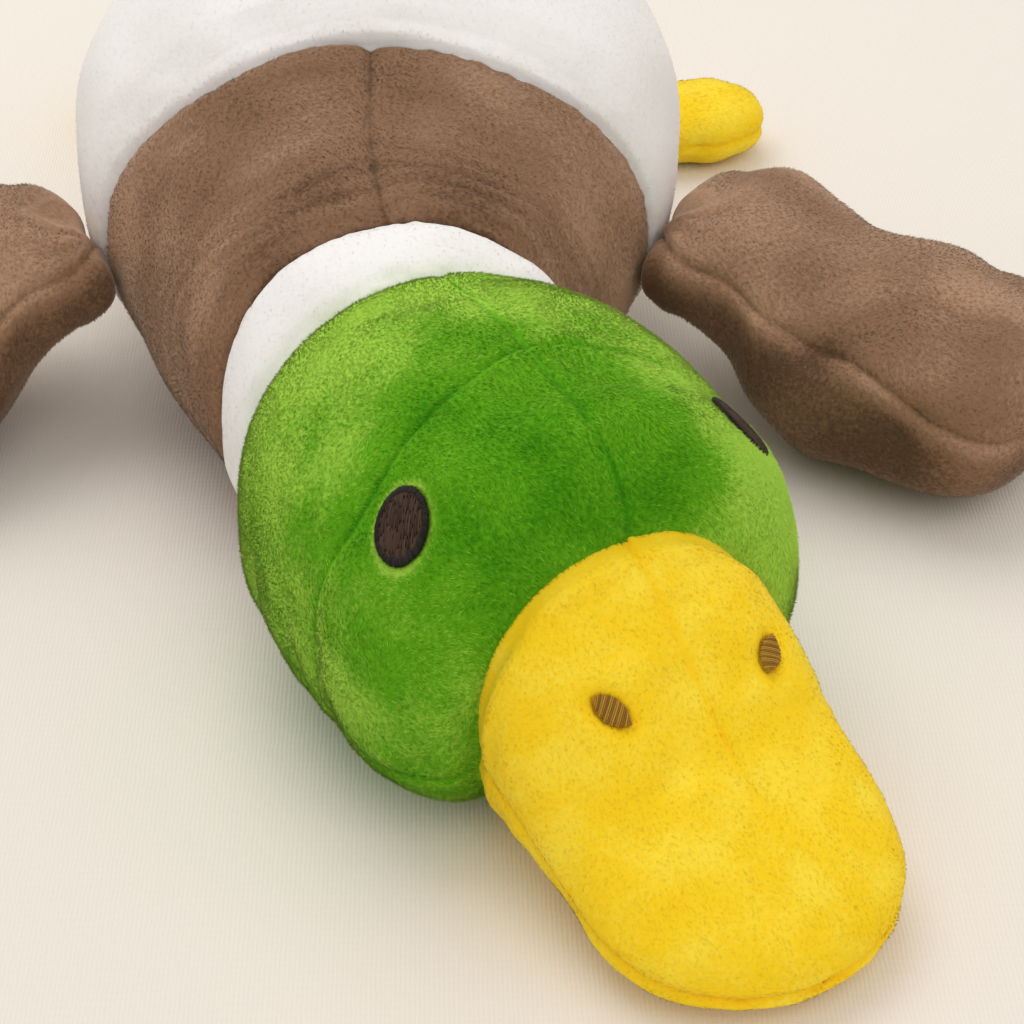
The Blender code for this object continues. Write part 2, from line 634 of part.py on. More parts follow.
def middle_of(pieces):
    """Middle of the pieces' box in plan."""
    corners = np.array([vertex.co[:] for piece in pieces for vertex in piece.data.vertices])
    return (corners.min(axis=0) + corners.max(axis=0)) / 2 * [1, 1, 0]


def main():
    clear_scene()
    white = fabric("white_plush", (0.86, 0.87, 0.88), 0.9)
    brown = fabric("brown_plush", (0.22, 0.13, 0.09), 0.9)
    green = fabric("green_plush", (0.06, 0.25, 0.02), 0.9)
    yellow = fabric("yellow_plush", (0.90, 0.55, 0.02), 0.85)
    stuffing = fabric("polyester_stuffing", (0.90, 0.90, 0.88), 0.95)
    dark = fabric("dark_brown_thread", (0.035, 0.022, 0.018), 0.45)
    olive = fabric("olive_thread", (0.19, 0.13, 0.02), 0.45)

    body, rump = make_body(white, stuffing)
    body += make_chest(brown, stuffing) + make_collar(white, stuffing)
    tail = make_tail(white, stuffing)
    head, head_inside = make_head(green, stuffing)
    bill, bill_opening = make_bill(yellow, stuffing)
    pieces = {piece.name: piece for piece in head + bill}
    for piece in tail:
        cut(piece, rump)
    for piece in bill:
        cut(piece, head_inside)
    for name in ("head_front_left", "head_front_right", "head_under_panel"):
        cut(pieces[name], bill_opening)
    sewn, recesses = make_stitching(dark, olive, pieces)
    limbs = {}
    for side, sign in (("left", 1), ("right", -1)):
        seat, outward, surface = wing_surface(sign)
        limbs["wing_" + side] = seat, outward, make_limb("wing_" + side, surface, WING_FACETS, brown, stuffing)
        seat, outward, surface = foot_surface(sign)
        limbs["foot_" + side] = seat, outward, make_limb("foot_" + side, surface, FOOT_FACETS, yellow, stuffing)

    shown = body + tail + head + bill + [piece for *_, made in limbs.values() for piece in made]
    middle = middle_of(shown)
    duck = hold("duck", -middle, [])
    torso = hold("torso", (0, 0, 0), body + tail + [rump], duck)
    turn = place_head_turn()
    hold("head_turn", turn, head + bill + sewn + recesses + [bill_opening, head_inside], torso)
    print("head_turn", np.round(turn - middle, 6), "axis", UP)
    for name, (seat, outward, made) in limbs.items():
        hold(name + "_hinge", seat, made, torso)
        print(name, np.round(seat - middle, 6), "axis", np.round(np.cross(outward, UP), 6))


main()
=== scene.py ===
"""Plush mallard lying on its belly: padded skins, pile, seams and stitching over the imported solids.

Every form is a grid of points: a share of the way along it, from its back to its front, by an angle
round it, counted from its left side over its top. Reliefs push the grid in and out along its normals,
and the pile is thousands of small closed tufts that grow from it.
"""

import json
import math

import bpy
import numpy as np
from mathutils import Matrix


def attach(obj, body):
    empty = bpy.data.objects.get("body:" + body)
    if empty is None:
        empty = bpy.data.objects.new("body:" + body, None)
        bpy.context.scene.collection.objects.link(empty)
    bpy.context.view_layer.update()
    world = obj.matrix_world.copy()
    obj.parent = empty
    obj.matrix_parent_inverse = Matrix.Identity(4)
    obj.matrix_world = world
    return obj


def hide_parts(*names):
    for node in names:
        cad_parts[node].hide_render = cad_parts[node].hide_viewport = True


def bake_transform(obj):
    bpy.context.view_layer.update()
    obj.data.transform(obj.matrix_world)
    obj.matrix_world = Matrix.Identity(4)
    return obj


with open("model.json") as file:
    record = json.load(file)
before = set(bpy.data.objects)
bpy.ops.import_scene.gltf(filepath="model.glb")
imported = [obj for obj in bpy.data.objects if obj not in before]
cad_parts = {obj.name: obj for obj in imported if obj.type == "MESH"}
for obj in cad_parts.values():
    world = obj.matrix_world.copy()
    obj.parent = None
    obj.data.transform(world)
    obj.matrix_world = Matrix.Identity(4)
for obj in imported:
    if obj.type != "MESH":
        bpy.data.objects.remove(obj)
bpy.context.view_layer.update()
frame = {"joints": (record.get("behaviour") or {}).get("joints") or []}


# ---------------------------------------------------------------- Camera
# The photograph was taken from in front of the bill and above, with a long lens. The place and the
# turn come from fitting the padded forms to it.
EYE_POINT = np.array([0.0258, -0.5734, 0.3905])
YAW, PITCH, ROLL = math.radians(1.30), math.radians(36.79), math.radians(-0.41)
LENS, SENSOR = 79.28, 36.0

forward = np.array([math.sin(YAW) * math.cos(PITCH), math.cos(YAW) * math.cos(PITCH), -math.sin(PITCH)])
level_right = np.cross(forward, [0, 0, 1])
level_right /= np.linalg.norm(level_right)
level_up = np.cross(level_right, forward)
camera_right = level_right * math.cos(ROLL) + level_up * math.sin(ROLL)
camera_up = level_up * math.cos(ROLL) - level_right * math.sin(ROLL)
camera = bpy.data.objects.new("camera", bpy.data.cameras.new("camera"))
bpy.context.scene.collection.objects.link(camera)
camera.data.lens, camera.data.sensor_width = LENS, SENSOR
camera.data.clip_start, camera.data.clip_end = 0.01, 20
turned = np.eye(4)
turned[:3] = np.column_stack([camera_right, camera_up, -forward, EYE_POINT])
camera.matrix_world = Matrix(turned.tolist())
bpy.context.scene.camera = camera


# ---------------------------------------------------------------- Light
# Daylight from a large soft source above and a little behind the toy, with a pale room around it.
def lamp(name, place, target, size, power, colour):
    """Square area lamp at a place, facing a target."""
    data = bpy.data.lights.new(name, "AREA")
    data.shape, data.size, data.energy, data.color = "SQUARE", size, power, colour
    obj = bpy.data.objects.new(name, data)
    bpy.context.scene.collection.objects.link(obj)
    direction = np.array(target) - np.array(place)
    direction = direction / np.linalg.norm(direction)
    side = np.cross(direction, [0, 1, 0.01])
    side /= np.linalg.norm(side)
    matrix = np.eye(4)
    matrix[:3] = np.column_stack([side, np.cross(side, direction), -direction, place])
    obj.matrix_world = Matrix(matrix.tolist())


lamp("window", (-0.35, 0.75, 1.5), (0, 0, 0), 1.3, 11.0, (1.0, 0.985, 0.96))
lamp("room", (0.6, -1.2, 1.6), (0, 0, 0), 1.6, 8.0, (1.0, 0.97, 0.94))
world = bpy.data.worlds.new("room")
bpy.context.scene.world = world
world.use_nodes = True
world.node_tree.nodes["Background"].inputs["Color"].default_value = (1.0, 0.965, 0.93, 1)
world.node_tree.nodes["Background"].inputs["Strength"].default_value = 0.66


# ---------------------------------------------------------------- Cloth that it lies on
# Pale cream cotton with a fine ribbed weave, laid flat. Not part of the toy.
FLOOR_COLOUR = (0.86, 0.81, 0.75)
RIB_PITCH = 0.0011
CLOTH_HALF = 9


def new_material(name, colour, roughness):
    """Principled material with its plain numbers on the shader's own sockets."""
    made = bpy.data.materials.new(name)
    made.use_nodes = True
    nodes, links = made.node_tree.nodes, made.node_tree.links
    shader = nodes["Principled BSDF"]
    shader.inputs["Base Color"].default_value = (*colour, 1)
    shader.inputs["Roughness"].default_value = roughness
    shader.inputs["Specular IOR Level"].default_value = 0.2
    return made, nodes, links, shader


def weave_material():
    """Two crossed waves, the rib finer and deeper, as bump and as painted shade: a slight darkening between
    the ribs.
    """
    made, nodes, links, shader = new_material("cream_cotton", FLOOR_COLOUR, 0.9)
    place = nodes.new("ShaderNodeTexCoord")
    rib, weft = nodes.new("ShaderNodeTexWave"), nodes.new("ShaderNodeTexWave")
    rib.bands_direction, weft.bands_direction = "X", "Y"
    # A wave texture repeats every 2 * pi / 20 of its scaled length.
    rib.inputs["Scale"].default_value = math.pi / 10 / RIB_PITCH
    weft.inputs["Scale"].default_value = math.pi / 10 / (2 * RIB_PITCH)
    for wave in (rib, weft):
        wave.inputs["Distortion"].default_value = 2.0
        wave.inputs["Detail"].default_value = 1.0
        wave.inputs["Detail Scale"].default_value = 0.6
        links.new(place.outputs["Object"], wave.inputs["Vector"])
    both = nodes.new("ShaderNodeMath")
    both.operation = "MULTIPLY_ADD"
    both.inputs[1].default_value = 0.35
    links.new(weft.outputs["Fac"], both.inputs[0])
    links.new(rib.outputs["Fac"], both.inputs[2])
    bump = nodes.new("ShaderNodeBump")
    bump.inputs["Strength"].default_value = 0.18
    bump.inputs["Distance"].default_value = 0.0003
    links.new(both.outputs[0], bump.inputs["Height"])
    links.new(bump.outputs["Normal"], shader.inputs["Normal"])
    tone = nodes.new("ShaderNodeMix")
    tone.data_type = "RGBA"
    tone.inputs[6].default_value = tuple(0.975 * c for c in FLOOR_COLOUR) + (1,)
    tone.inputs[7].default_value = tuple(1.015 * c for c in FLOOR_COLOUR) + (1,)
    links.new(both.outputs[0], tone.inputs[0])
    links.new(tone.outputs[2], shader.inputs["Base Color"])
    return made


floor_mesh = bpy.data.meshes.new("cloth_under")
corners = [(-CLOTH_HALF, -CLOTH_HALF, 0), (CLOTH_HALF, -CLOTH_HALF, 0),
           (CLOTH_HALF, CLOTH_HALF, 0), (-CLOTH_HALF, CLOTH_HALF, 0)]
floor_mesh.from_pydata(corners, [], [(0, 1, 2, 3)])
floor = bpy.data.objects.new("cloth_under", floor_mesh)
bpy.context.scene.collection.objects.link(floor)
floor.data.materials.append(weave_material())


# ---------------------------------------------------------------- White body
# One firm padded sack of short white plush, sewn from a back panel and a belly panel and filled with
# polyester fibre. It lies flat on its belly, and the brown chest is sewn to its front edge.
BODY_LENGTH, BODY_WIDTH, BODY_HEIGHT = 0.222, 0.194, 0.137
SHOULDER_WIDTH, SHOULDER_HEIGHT, CHEST_LENGTH = 0.151, 0.116, 0.054
BORDER_LEAN, BELLY_BORDER_LEAN = 0.18, -0.054
BELLY_SEAM_ANGLE = math.radians(18)
COLLAR_LENGTH, COLLAR_WIDTH, COLLAR_HEIGHT = 0.026, 0.100, 0.098
COLLAR_PUFF, COLLAR_LIFT, COLLAR_LEAN = 0.0012, 0.004, 0.06
NECK_WIDTH, NECK_HEIGHT = 0.097, 0.095
NECK_BEND_START, NECK_BEND_LENGTH = 0.005, 0.100
HEAD_TURN = math.radians(29.5)
PRESS, MIDDLE_SHARE = 0.0005, 0.42
BACK_POWER, BELLY_POWER, CHIN_POWER = 2.1, 2.4, 2.8
HALF_TURN, QUARTER_TURN = math.pi, math.pi / 2
UP = np.array([0.0, 0.0, 1.0])


def smooth(knots, values, at):
    """Curve through the points (knots, values) without overshoot: cubic pieces whose slope at a knot
    is the harmonic mean of the two chords there, or zero where they differ in sign."""
    knots, values = np.array(knots, float), np.array(values, float)
    step = np.diff(knots)
    slope = np.diff(values) / step
    before, after = slope[:-1], slope[1:]
    both = np.where(before * after > 0, before + after, 1)
    inner = np.where(before * after > 0, 2 * before * after / both, 0)
    tangent = np.concatenate([slope[:1], inner, slope[-1:]])
    i = np.clip(np.searchsorted(knots, at, side="right") - 1, 0, len(step) - 1)
    t = (at - knots[i]) / step[i]
    rise = values[i] + (values[i + 1] - values[i]) * t * t * (3 - 2 * t)
    return rise + step[i] * t * (1 - t) * (tangent[i] * (1 - t) - tangent[i + 1] * t)


def closing(share, power):
    """1 at share 0, rounding down to 0 at share 1: (1 - share^power)^(1/power)."""
    return (1 - np.clip(share, 0, 1) ** power) ** (1 / power)


def on_spine(reach, side, height):
    """Point at a length forward of the wing line, a distance to the left and a height. The spine is
    straight, then an arc that turns it left by HEAD_TURN over NECK_BEND_LENGTH, then straight."""
    turned = np.clip((reach - NECK_BEND_START) / NECK_BEND_LENGTH, 0, 1)
    heading = HEAD_TURN * turned
    radius = NECK_BEND_LENGTH / HEAD_TURN
    beyond = np.maximum(reach - NECK_BEND_START - NECK_BEND_LENGTH, 0)
    across = radius * (1 - np.cos(heading)) + beyond * math.sin(HEAD_TURN)
    ahead = np.minimum(reach, NECK_BEND_START) + radius * np.sin(heading) + beyond * math.cos(HEAD_TURN)
    x = across + side * np.cos(heading)
    y = side * np.sin(heading) - ahead
    return np.stack(np.broadcast_arrays(x, y, height), axis=-1)


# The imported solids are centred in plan, so the spine's frame is moved by where its neck hinge went.
HINGES = {joint["name"]: np.array(joint["pos_m"]) for joint in frame["joints"]}
FRAME_SHIFT = HINGES["head_turn"] - on_spine(CHEST_LENGTH + COLLAR_LENGTH / 2, 0, 0)


def round_section(angle, power):
    """Side and height, from -1 to 1, of the curve |side|^power + |height|^power = 1 at an angle."""
    side, height = np.cos(angle), np.sin(angle)
    size = (np.abs(side) ** power + np.abs(height) ** power) ** (-1 / power)
    return side * size, height * size


def section_point(reach, lean, half, bottom, top, angle, upper_power, lower_power):
    """Point of a section across the spine that leans back with height, with its own power above and
    below, and its widest place MIDDLE_SHARE of the way up."""
    power = lower_power + (upper_power - lower_power) * (1 + np.sin(angle)) / 2
    side, height = round_section(angle, power)
    middle = bottom + MIDDLE_SHARE * (top - bottom)
    height = height * np.where(height > 0, top - middle, middle - bottom)
    return on_spine(reach - lean * height, side * half, middle + height) + FRAME_SHIFT


def torso_section(reach, angle):
    """Torso outline from the rump to the collar: half widths and heights read from smooth curves
    along it, closed at the rump by (1 - x^p)^(1/p)."""
    place_shares = np.array([[-0.62, 0], [-0.30, 0], [-0.12, 0], [0, 0], [0, 0.5], [0, 1]])
    width_shares = np.array(
        [[0.80, 0, 0], [0.975, 0, 0], [0.6, 0.4, 0], [0, 1, 0], [0, 0.46, 0.54], [0, 0, 1]])
    height_shares = np.array(
        [[0.985, 0, 0], [1, 0, 0], [0.57, 0.43, 0], [0, 1, 0], [0, 0.37, 0.63], [0, 0, 1]])
    lift_shares = np.array([[0, -1], [0, -1], [0, -1], [0, -1], [0.05, -1], [1, 0]])
    places = place_shares @ [BODY_LENGTH, CHEST_LENGTH]
    rump = (places[0] - np.minimum(reach, places[0])) / (BODY_LENGTH + places[0])
    held = np.maximum(reach, places[0])
    half = smooth(places, width_shares @ [BODY_WIDTH, SHOULDER_WIDTH, COLLAR_WIDTH] / 2, held)
    top = smooth(places, height_shares @ [BODY_HEIGHT, SHOULDER_HEIGHT, COLLAR_HEIGHT], held)
    bottom = smooth(places, lift_shares @ [COLLAR_LIFT, PRESS], held)
    middle = bottom + MIDDLE_SHARE * (top - bottom)
    top = middle + (top - middle) * closing(rump, 2.0)
    bottom = middle + (bottom - middle) * closing(rump, 2.4)
    lean = np.where(np.sin(angle) > 0, BORDER_LEAN, BELLY_BORDER_LEAN)
    lean = lean * (1 + np.cos(HALF_TURN * np.clip(reach / CHEST_LENGTH, -1, 1))) / 2
    lean = lean + COLLAR_LEAN * np.clip(reach / CHEST_LENGTH, 0, 1)
    return section_point(reach, lean, half * closing(rump, 1.9), bottom, top, angle, BACK_POWER, BELLY_POWER)


def body_surface(share, angle):
    """White body: share 0 is the rump, share 1 the border at the wing line."""
    return torso_section(-BODY_LENGTH * np.cos(share * QUARTER_TURN), angle)


def unit(vectors):
    """Vectors divided by their length."""
    return vectors / np.maximum(np.linalg.norm(vectors, axis=-1, keepdims=True), 1e-12)


def slopes(points):
    """Differences of a grid that is closed round its columns: along its rows and round its columns."""
    return np.gradient(points, axis=0), (np.roll(points, -1, 1) - np.roll(points, 1, 1)) / 2


def normals_of(points):
    """Outward normals of a closed grid: the cross product of its two slopes."""
    along, around = slopes(points)
    return unit(np.cross(around, along))


def ripples(points, wavelength, seed, waves=14):
    """Soft noise of about one wavelength, mostly from -1 to 1: the mean of sine waves that run in
    random directions with random phases."""
    rng = np.random.default_rng(seed)
    ways = unit(rng.normal(size=(waves, 3))) * (2 * math.pi / wavelength) * rng.uniform(0.6, 1.5, (waves, 1))
    return np.sin(points @ ways.T + rng.uniform(0, 2 * math.pi, waves)).sum(-1) / math.sqrt(waves) / 1.2


def ease(value, low, high):
    """Smooth step: 0 below low, 1 above high, 3t^2 - 2t^3 between them."""
    t = np.clip((value - low) / (high - low), 0, 1)
    return t * t * (3 - 2 * t)


def groove(distance, depth, reach):
    """Relief of a seam: -depth * (1 - |distance| / reach)^2, a sharp valley with rounded shoulders."""
    return -depth * (1 - np.clip(np.abs(distance) / reach, 0, 1)) ** 2


# A settling copy starts this much inside its form, and is blown up until the last frame.
INSIDE, LAST_FRAME, PRESSURE, SPARE_CLOTH = 0.0008, 20, 4, 0.02


class Form:
    """Grid of a padded form: its shares along and angles round it, its plain points and normals, and
    how far in metres a step of share or angle goes at each point. On it are laid the relief, the tone
    from 0, deep, to 1, light, which is random tone together with painted light and shade, the way that
    the pile is combed, and where the cloth is bare."""

    def __init__(self, surface, shares, columns):
        self.share = shares[:, None] + np.zeros(columns)
        self.angle = np.zeros((len(shares), 1)) + np.arange(columns) * 2 * math.pi / columns
        self.plain = surface(self.share, self.angle)
        self.normal = normals_of(self.plain)
        along, around = slopes(self.plain)
        self.per_share = np.linalg.norm(along, axis=-1) / np.maximum(np.gradient(shares)[:, None], 1e-9)
        self.per_angle = np.linalg.norm(around, axis=-1) * columns / (2 * math.pi)
        self.relief, self.tone_and_painted_light, self.comb = (np.zeros(self.share.shape) for _ in range(3))
        self.bare = np.zeros(self.share.shape, bool)
        self.held = np.zeros(self.share.shape, bool)
        self.points = self.plain

    def from_angle(self, angle):
        """Distance from the line at one angle, or at an angle for each row, in metres."""
        return ((self.angle - angle + math.pi) % (2 * math.pi) - math.pi) * self.per_angle

    def from_share(self, share):
        """Distance from the line at one share, or at a share for each column, in metres."""
        return (self.share - share) * self.per_share

    def seam(self, distance, depth, reach, strength=1.0):
        """Sews a line: a groove with small puckers along it, and at its bottom a bare thread line,
        with painted shade darkening the groove there."""
        puckers = 1 + 0.18 * ripples(self.plain, 0.006, 900)
        self.relief += groove(distance, depth, reach) * strength * puckers
        self.tone_and_painted_light -= 0.22 * strength * np.exp(-((distance / 0.0011) ** 2))
        self.bare |= (np.abs(distance) < 0.0004) & (np.zeros_like(distance) + strength > 0.5)
        self.held |= (np.abs(distance) < 0.0015) & (np.zeros_like(distance) + strength > 0.5)

    def settle(self, spacing, cap, free=1.0):
        """Lets Blender's cloth find the padded shape. A coarser copy of the form, a little smaller, is
        blown up from frame 1 to 20 with its seams held and its cloth a little too large, so it puckers
        beside them. The moves, none longer than the cap, are read back onto the fine grid, times
        free, which is 0 where a place must stay."""
        rows, columns = self.share.shape
        length = np.linalg.norm(slopes(self.plain)[0], axis=-1).max(axis=1).cumsum()
        tall = max(int(length[-1] / spacing), 8)
        wide = max(int((self.per_angle.max() * 2 * math.pi) / spacing) // 2 * 2, 24)
        pick = np.unique(np.searchsorted(length, np.linspace(length[0], length[-1], tall)).clip(0, rows - 1))
        turn = np.round(np.arange(wide) * columns / wide).astype(int) % columns
        start = (self.plain + self.normal * (self.relief - INSIDE)[..., None])[pick][:, turn]
        held = self.held[pick][:, turn]
        held[0], held[-1] = True, True
        i, j = np.meshgrid(np.arange(len(pick) - 1), np.arange(wide), indexing="ij")
        i, j, k = i.ravel(), j.ravel(), (j.ravel() + 1) % wide
        quads = np.stack([i * wide + j, i * wide + k, (i + 1) * wide + k, (i + 1) * wide + j], 1)
        mesh = bpy.data.meshes.new("settling")
        mesh.from_pydata(start.reshape(-1, 3).tolist(), [], quads.tolist())
        obj = bpy.data.objects.new("settling", mesh)
        bpy.context.scene.collection.objects.link(obj)
        group = obj.vertex_groups.new(name="held")
        group.add(np.flatnonzero(held.ravel()).tolist(), 1.0, "REPLACE")
        cloth = obj.modifiers.new("cloth", "CLOTH")
        cloth.settings.use_pressure = True
        cloth.settings.uniform_pressure_force = PRESSURE
        cloth.settings.vertex_group_mass = "held"
        cloth.settings.effector_weights.gravity = 0
        cloth.settings.shrink_min = -SPARE_CLOTH
        cloth.settings.quality = 4
        cloth.point_cache.frame_start, cloth.point_cache.frame_end = 1, LAST_FRAME
        for number in range(1, LAST_FRAME + 1):
            bpy.context.scene.frame_set(number)
        blown = obj.evaluated_get(bpy.context.evaluated_depsgraph_get()).data
        found = np.empty(len(blown.vertices) * 3, np.float32)
        blown.vertices.foreach_get("co", found)
        bpy.context.scene.frame_set(1)
        bpy.data.objects.remove(obj)
        bpy.data.meshes.remove(mesh)
        move = found.reshape(start.shape) - start
        size = np.linalg.norm(move, axis=-1, keepdims=True)
        move = np.nan_to_num(move * np.minimum(1, cap / np.maximum(size, 1e-9)))
        move = (move + np.roll(move, 1, 1) + np.roll(move, -1, 1)) / 3
        flat = move.transpose(0, 2, 1).reshape(-1, wide)
        at = np.arange(columns) * wide / columns
        low = np.floor(at).astype(int)
        part = at - low
        flat = flat[:, low % wide] * (1 - part) + flat[:, (low + 1) % wide] * part
        flat = flat.reshape(len(pick), 3, columns).transpose(0, 2, 1)
        at = np.interp(np.arange(rows), pick, np.arange(len(pick)))
        low = np.minimum(np.floor(at).astype(int), len(pick) - 2)
        part = (at - low)[:, None, None]
        loose = (np.zeros(self.share.shape) + free)[..., None]
        moved = (flat[low] * (1 - part) + flat[low + 1] * part) * loose
        self.plain = self.plain + moved - self.normal * INSIDE

    def finish(self, floor=0.0):
        """Lays the relief on the plain points, lets nothing through the floor, and keeps the tone and its
        painted light and shade between 0 and 1.
        """
        self.points = self.plain + self.normal * self.relief[..., None]
        self.points[..., 2] = np.maximum(self.points[..., 2], floor)
        self.tone_and_painted_light = np.clip(self.tone_and_painted_light, 0, 1)


def show(name, points, faces, places, material, body, normals=None):
    """Mesh piece that rides on a body. faces is a list of index arrays, each with one width, and
    places gives its flat map, from 0 to 1 both ways, corner by corner."""
    mesh = bpy.data.meshes.new(name)
    widths = np.concatenate([np.full(len(part), part.shape[1]) for part in faces])
    mesh.vertices.add(len(points))
    mesh.vertices.foreach_set("co", np.ascontiguousarray(points, np.float32).ravel())
    mesh.loops.add(int(widths.sum()))
    mesh.loops.foreach_set("vertex_index", np.concatenate([part.ravel() for part in faces]).astype(np.int32))
    mesh.polygons.add(len(widths))
    mesh.polygons.foreach_set("loop_start", (np.cumsum(widths) - widths).astype(np.int32))
    layer = mesh.uv_layers.new(name="OFBake")
    flat_map = np.concatenate([part.reshape(-1, 2) for part in places]).astype(np.float32)
    layer.uv.foreach_set("vector", flat_map.ravel())
    mesh.update(calc_edges=True)
    mesh.shade_smooth()
    mesh.materials.append(material)
    if normals is not None:
        mesh.normals_split_custom_set_from_vertices(normals)
    obj = bpy.data.objects.new(name, mesh)
    bpy.context.scene.collection.objects.link(obj)
    if body:
        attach(obj, body)
    return obj


def write_tone_and_painted_light(obj, tone_and_painted_light):
    """Gives each vertex of a piece its tone, with any painted light and shade, for the material to read."""
    obj.data.attributes.new("tone_and_painted_light", "FLOAT", "POINT").data.foreach_set("value", tone_and_painted_light.astype(np.float32))


def skin(name, form, material, body, ends=(0.0, 0.0)):
    """Closed padded skin of a form: its grid, two smaller rings inside each end, and a middle point
    there, sunk by the two depths of ends."""
    points, tone_and_painted_light = form.points, form.tone_and_painted_light
    columns = points.shape[1]
    for last, deep in ((0, ends[0]), (-1, ends[1])):
        middle = points[last].mean(axis=0)
        inward = unit(points[len(points) // 2].mean(axis=0) - middle) * deep
        caps = [points[last] + (middle - points[last]) * near + inward * low
                for near, low in ((0.5, 1.0), (0.12, 0.6))]
        if last == 0:
            first, middle_first = np.stack(caps), middle + inward
        else:
            final, middle_final = np.stack(caps[::-1]), middle + inward
    grid = np.concatenate([first, points, final])
    tone_and_painted_light = np.concatenate([tone_and_painted_light[:1], tone_and_painted_light[:1], tone_and_painted_light, tone_and_painted_light[-1:], tone_and_painted_light[-1:]])
    rows = len(grid)
    i, j = (index.ravel() for index in np.meshgrid(np.arange(rows - 1), np.arange(columns), indexing="ij"))
    k = (j + 1) % columns
    quads = np.stack([i * columns + j, i * columns + k, (i + 1) * columns + k, (i + 1) * columns + j], 1)
    ring = np.arange(columns)
    near = np.stack([np.roll(ring, -1), ring, np.full(columns, rows * columns)], 1)
    far = np.stack([ring, np.roll(ring, -1), np.full(columns, rows * columns + 1)], 1)
    far[:, :2] += (rows - 1) * columns

    def flat(row, column):
        return np.stack([column / columns, 0.02 + 0.96 * row / (rows - 1)], -1)

    quad_places = np.stack([flat(i, j), flat(i, j + 1), flat(i + 1, j + 1), flat(i + 1, j)], 1)
    low, high = np.zeros(columns), np.full(columns, rows - 1.0)
    near_places = np.stack([flat(low, ring + 1), flat(low, ring), flat(low, ring + 0.5) - [0, 0.02]], 1)
    far_places = np.stack([flat(high, ring), flat(high, ring + 1), flat(high, ring + 0.5) + [0, 0.02]], 1)
    obj = show(name, np.concatenate([grid.reshape(-1, 3), [middle_first, middle_final]]), [quads, near, far],
               [quad_places, near_places, far_places], material, body)
    write_tone_and_painted_light(obj, np.concatenate([tone_and_painted_light.ravel(), [tone_and_painted_light[0].mean(), tone_and_painted_light[-1].mean()]]))
    return obj


# A tuft is a thin closed spike of four faces: a base triangle sunk in the skin, and a tip.
TUFT_FACES = np.array([[1, 0, 3], [2, 1, 3], [0, 2, 3], [0, 1, 2]])
TUFT_PLACES = np.array([[0, 0], [1, 0], [0, 1], [1, 1]]) * 0.002


def pile(name, form, cover, length, width, material, body, seed, lean=1.26, stray=0.20):
    """Plush pile on a form. cover is tufts for each square millimetre. Spots are drawn evenly by
    area. Each tuft leans from the normal by an angle, along the form's combed way, and has a random
    size and turn. Its shading follows the skin under it, so that the pile looks soft."""
    rng = np.random.default_rng(seed)
    points = form.points
    columns = points.shape[1]
    a, b, c, d = points[:-1], np.roll(points, -1, 1)[:-1], np.roll(points, -1, 1)[1:], points[1:]
    area = np.linalg.norm(np.cross(c - a, d - b), axis=-1) / 2
    wanted = area * 1e6 * (np.zeros(form.share.shape) + cover)[:-1] * ~form.bare[:-1]
    total = np.cumsum(wanted.ravel())
    count = int(total[-1])
    cell = np.searchsorted(total, (np.arange(count) + rng.random(count)) * total[-1] / count)
    cell = np.minimum(cell, len(total) - 1)
    i, j = cell // columns, cell % columns
    u, v = rng.random((2, count, 1))

    def read(grid):
        k = (j + 1) % columns
        here, beside = grid[i, j] * (1 - u) + grid[i + 1, j] * u, grid[i, k] * (1 - u) + grid[i + 1, k] * u
        return here * (1 - v) + beside * v

    root, up, front = read(points), unit(read(normals_of(points))), read(slopes(points)[0])
    front = unit(front - up * (front * up).sum(-1, keepdims=True))
    turn = read(form.comb[..., None]) + rng.normal(0, stray, (count, 1))
    tilt = lean + rng.normal(0, 0.10, (count, 1))
    way = front * np.cos(turn) + np.cross(up, front) * np.sin(turn)
    axis = up * np.cos(tilt) + way * np.sin(tilt)
    flat = unit(np.cross(axis, up))
    twist = rng.uniform(-0.5, 0.5, (count, 1))
    edge = flat * np.cos(twist) + np.cross(axis, flat) * np.sin(twist)
    back = np.cross(edge, axis)
    broad = width * rng.uniform(0.75, 1.25, (count, 1))
    foot = root - up * 0.0003
    tip = root + axis * length * rng.uniform(0.75, 1.25, (count, 1))
    corners = np.stack([foot + edge * broad / 2, foot - edge * broad / 2, foot - back * broad * 0.4, tip], 1)
    normals = unit(up[:, None] + np.stack([edge * 0.22, -edge * 0.22, -back * 0.1, way * 0.10], 1))
    faces = (np.arange(count)[:, None, None] * 4 + TUFT_FACES).reshape(-1, 3)
    spot = np.stack([(j + v[:, 0]) / columns, (i + u[:, 0]) / len(points)], 1)[:, None] * 0.995
    places = (spot + TUFT_PLACES)[:, TUFT_FACES]
    obj = show(name, corners.reshape(-1, 3), [faces], [places], material, body, normals.reshape(-1, 3))
    # Painted shade at each tuft's foot and painted light at its tip, over the form's tone and a random tone
    # for each tuft.
    tone_and_painted_light = read(form.tone_and_painted_light[..., None]) + rng.normal(0, 0.13, (count, 1)) + np.array([-0.10, -0.10, -0.12, 0.12])
    write_tone_and_painted_light(obj, np.clip(tone_and_painted_light, 0, 1).ravel())
    return obj


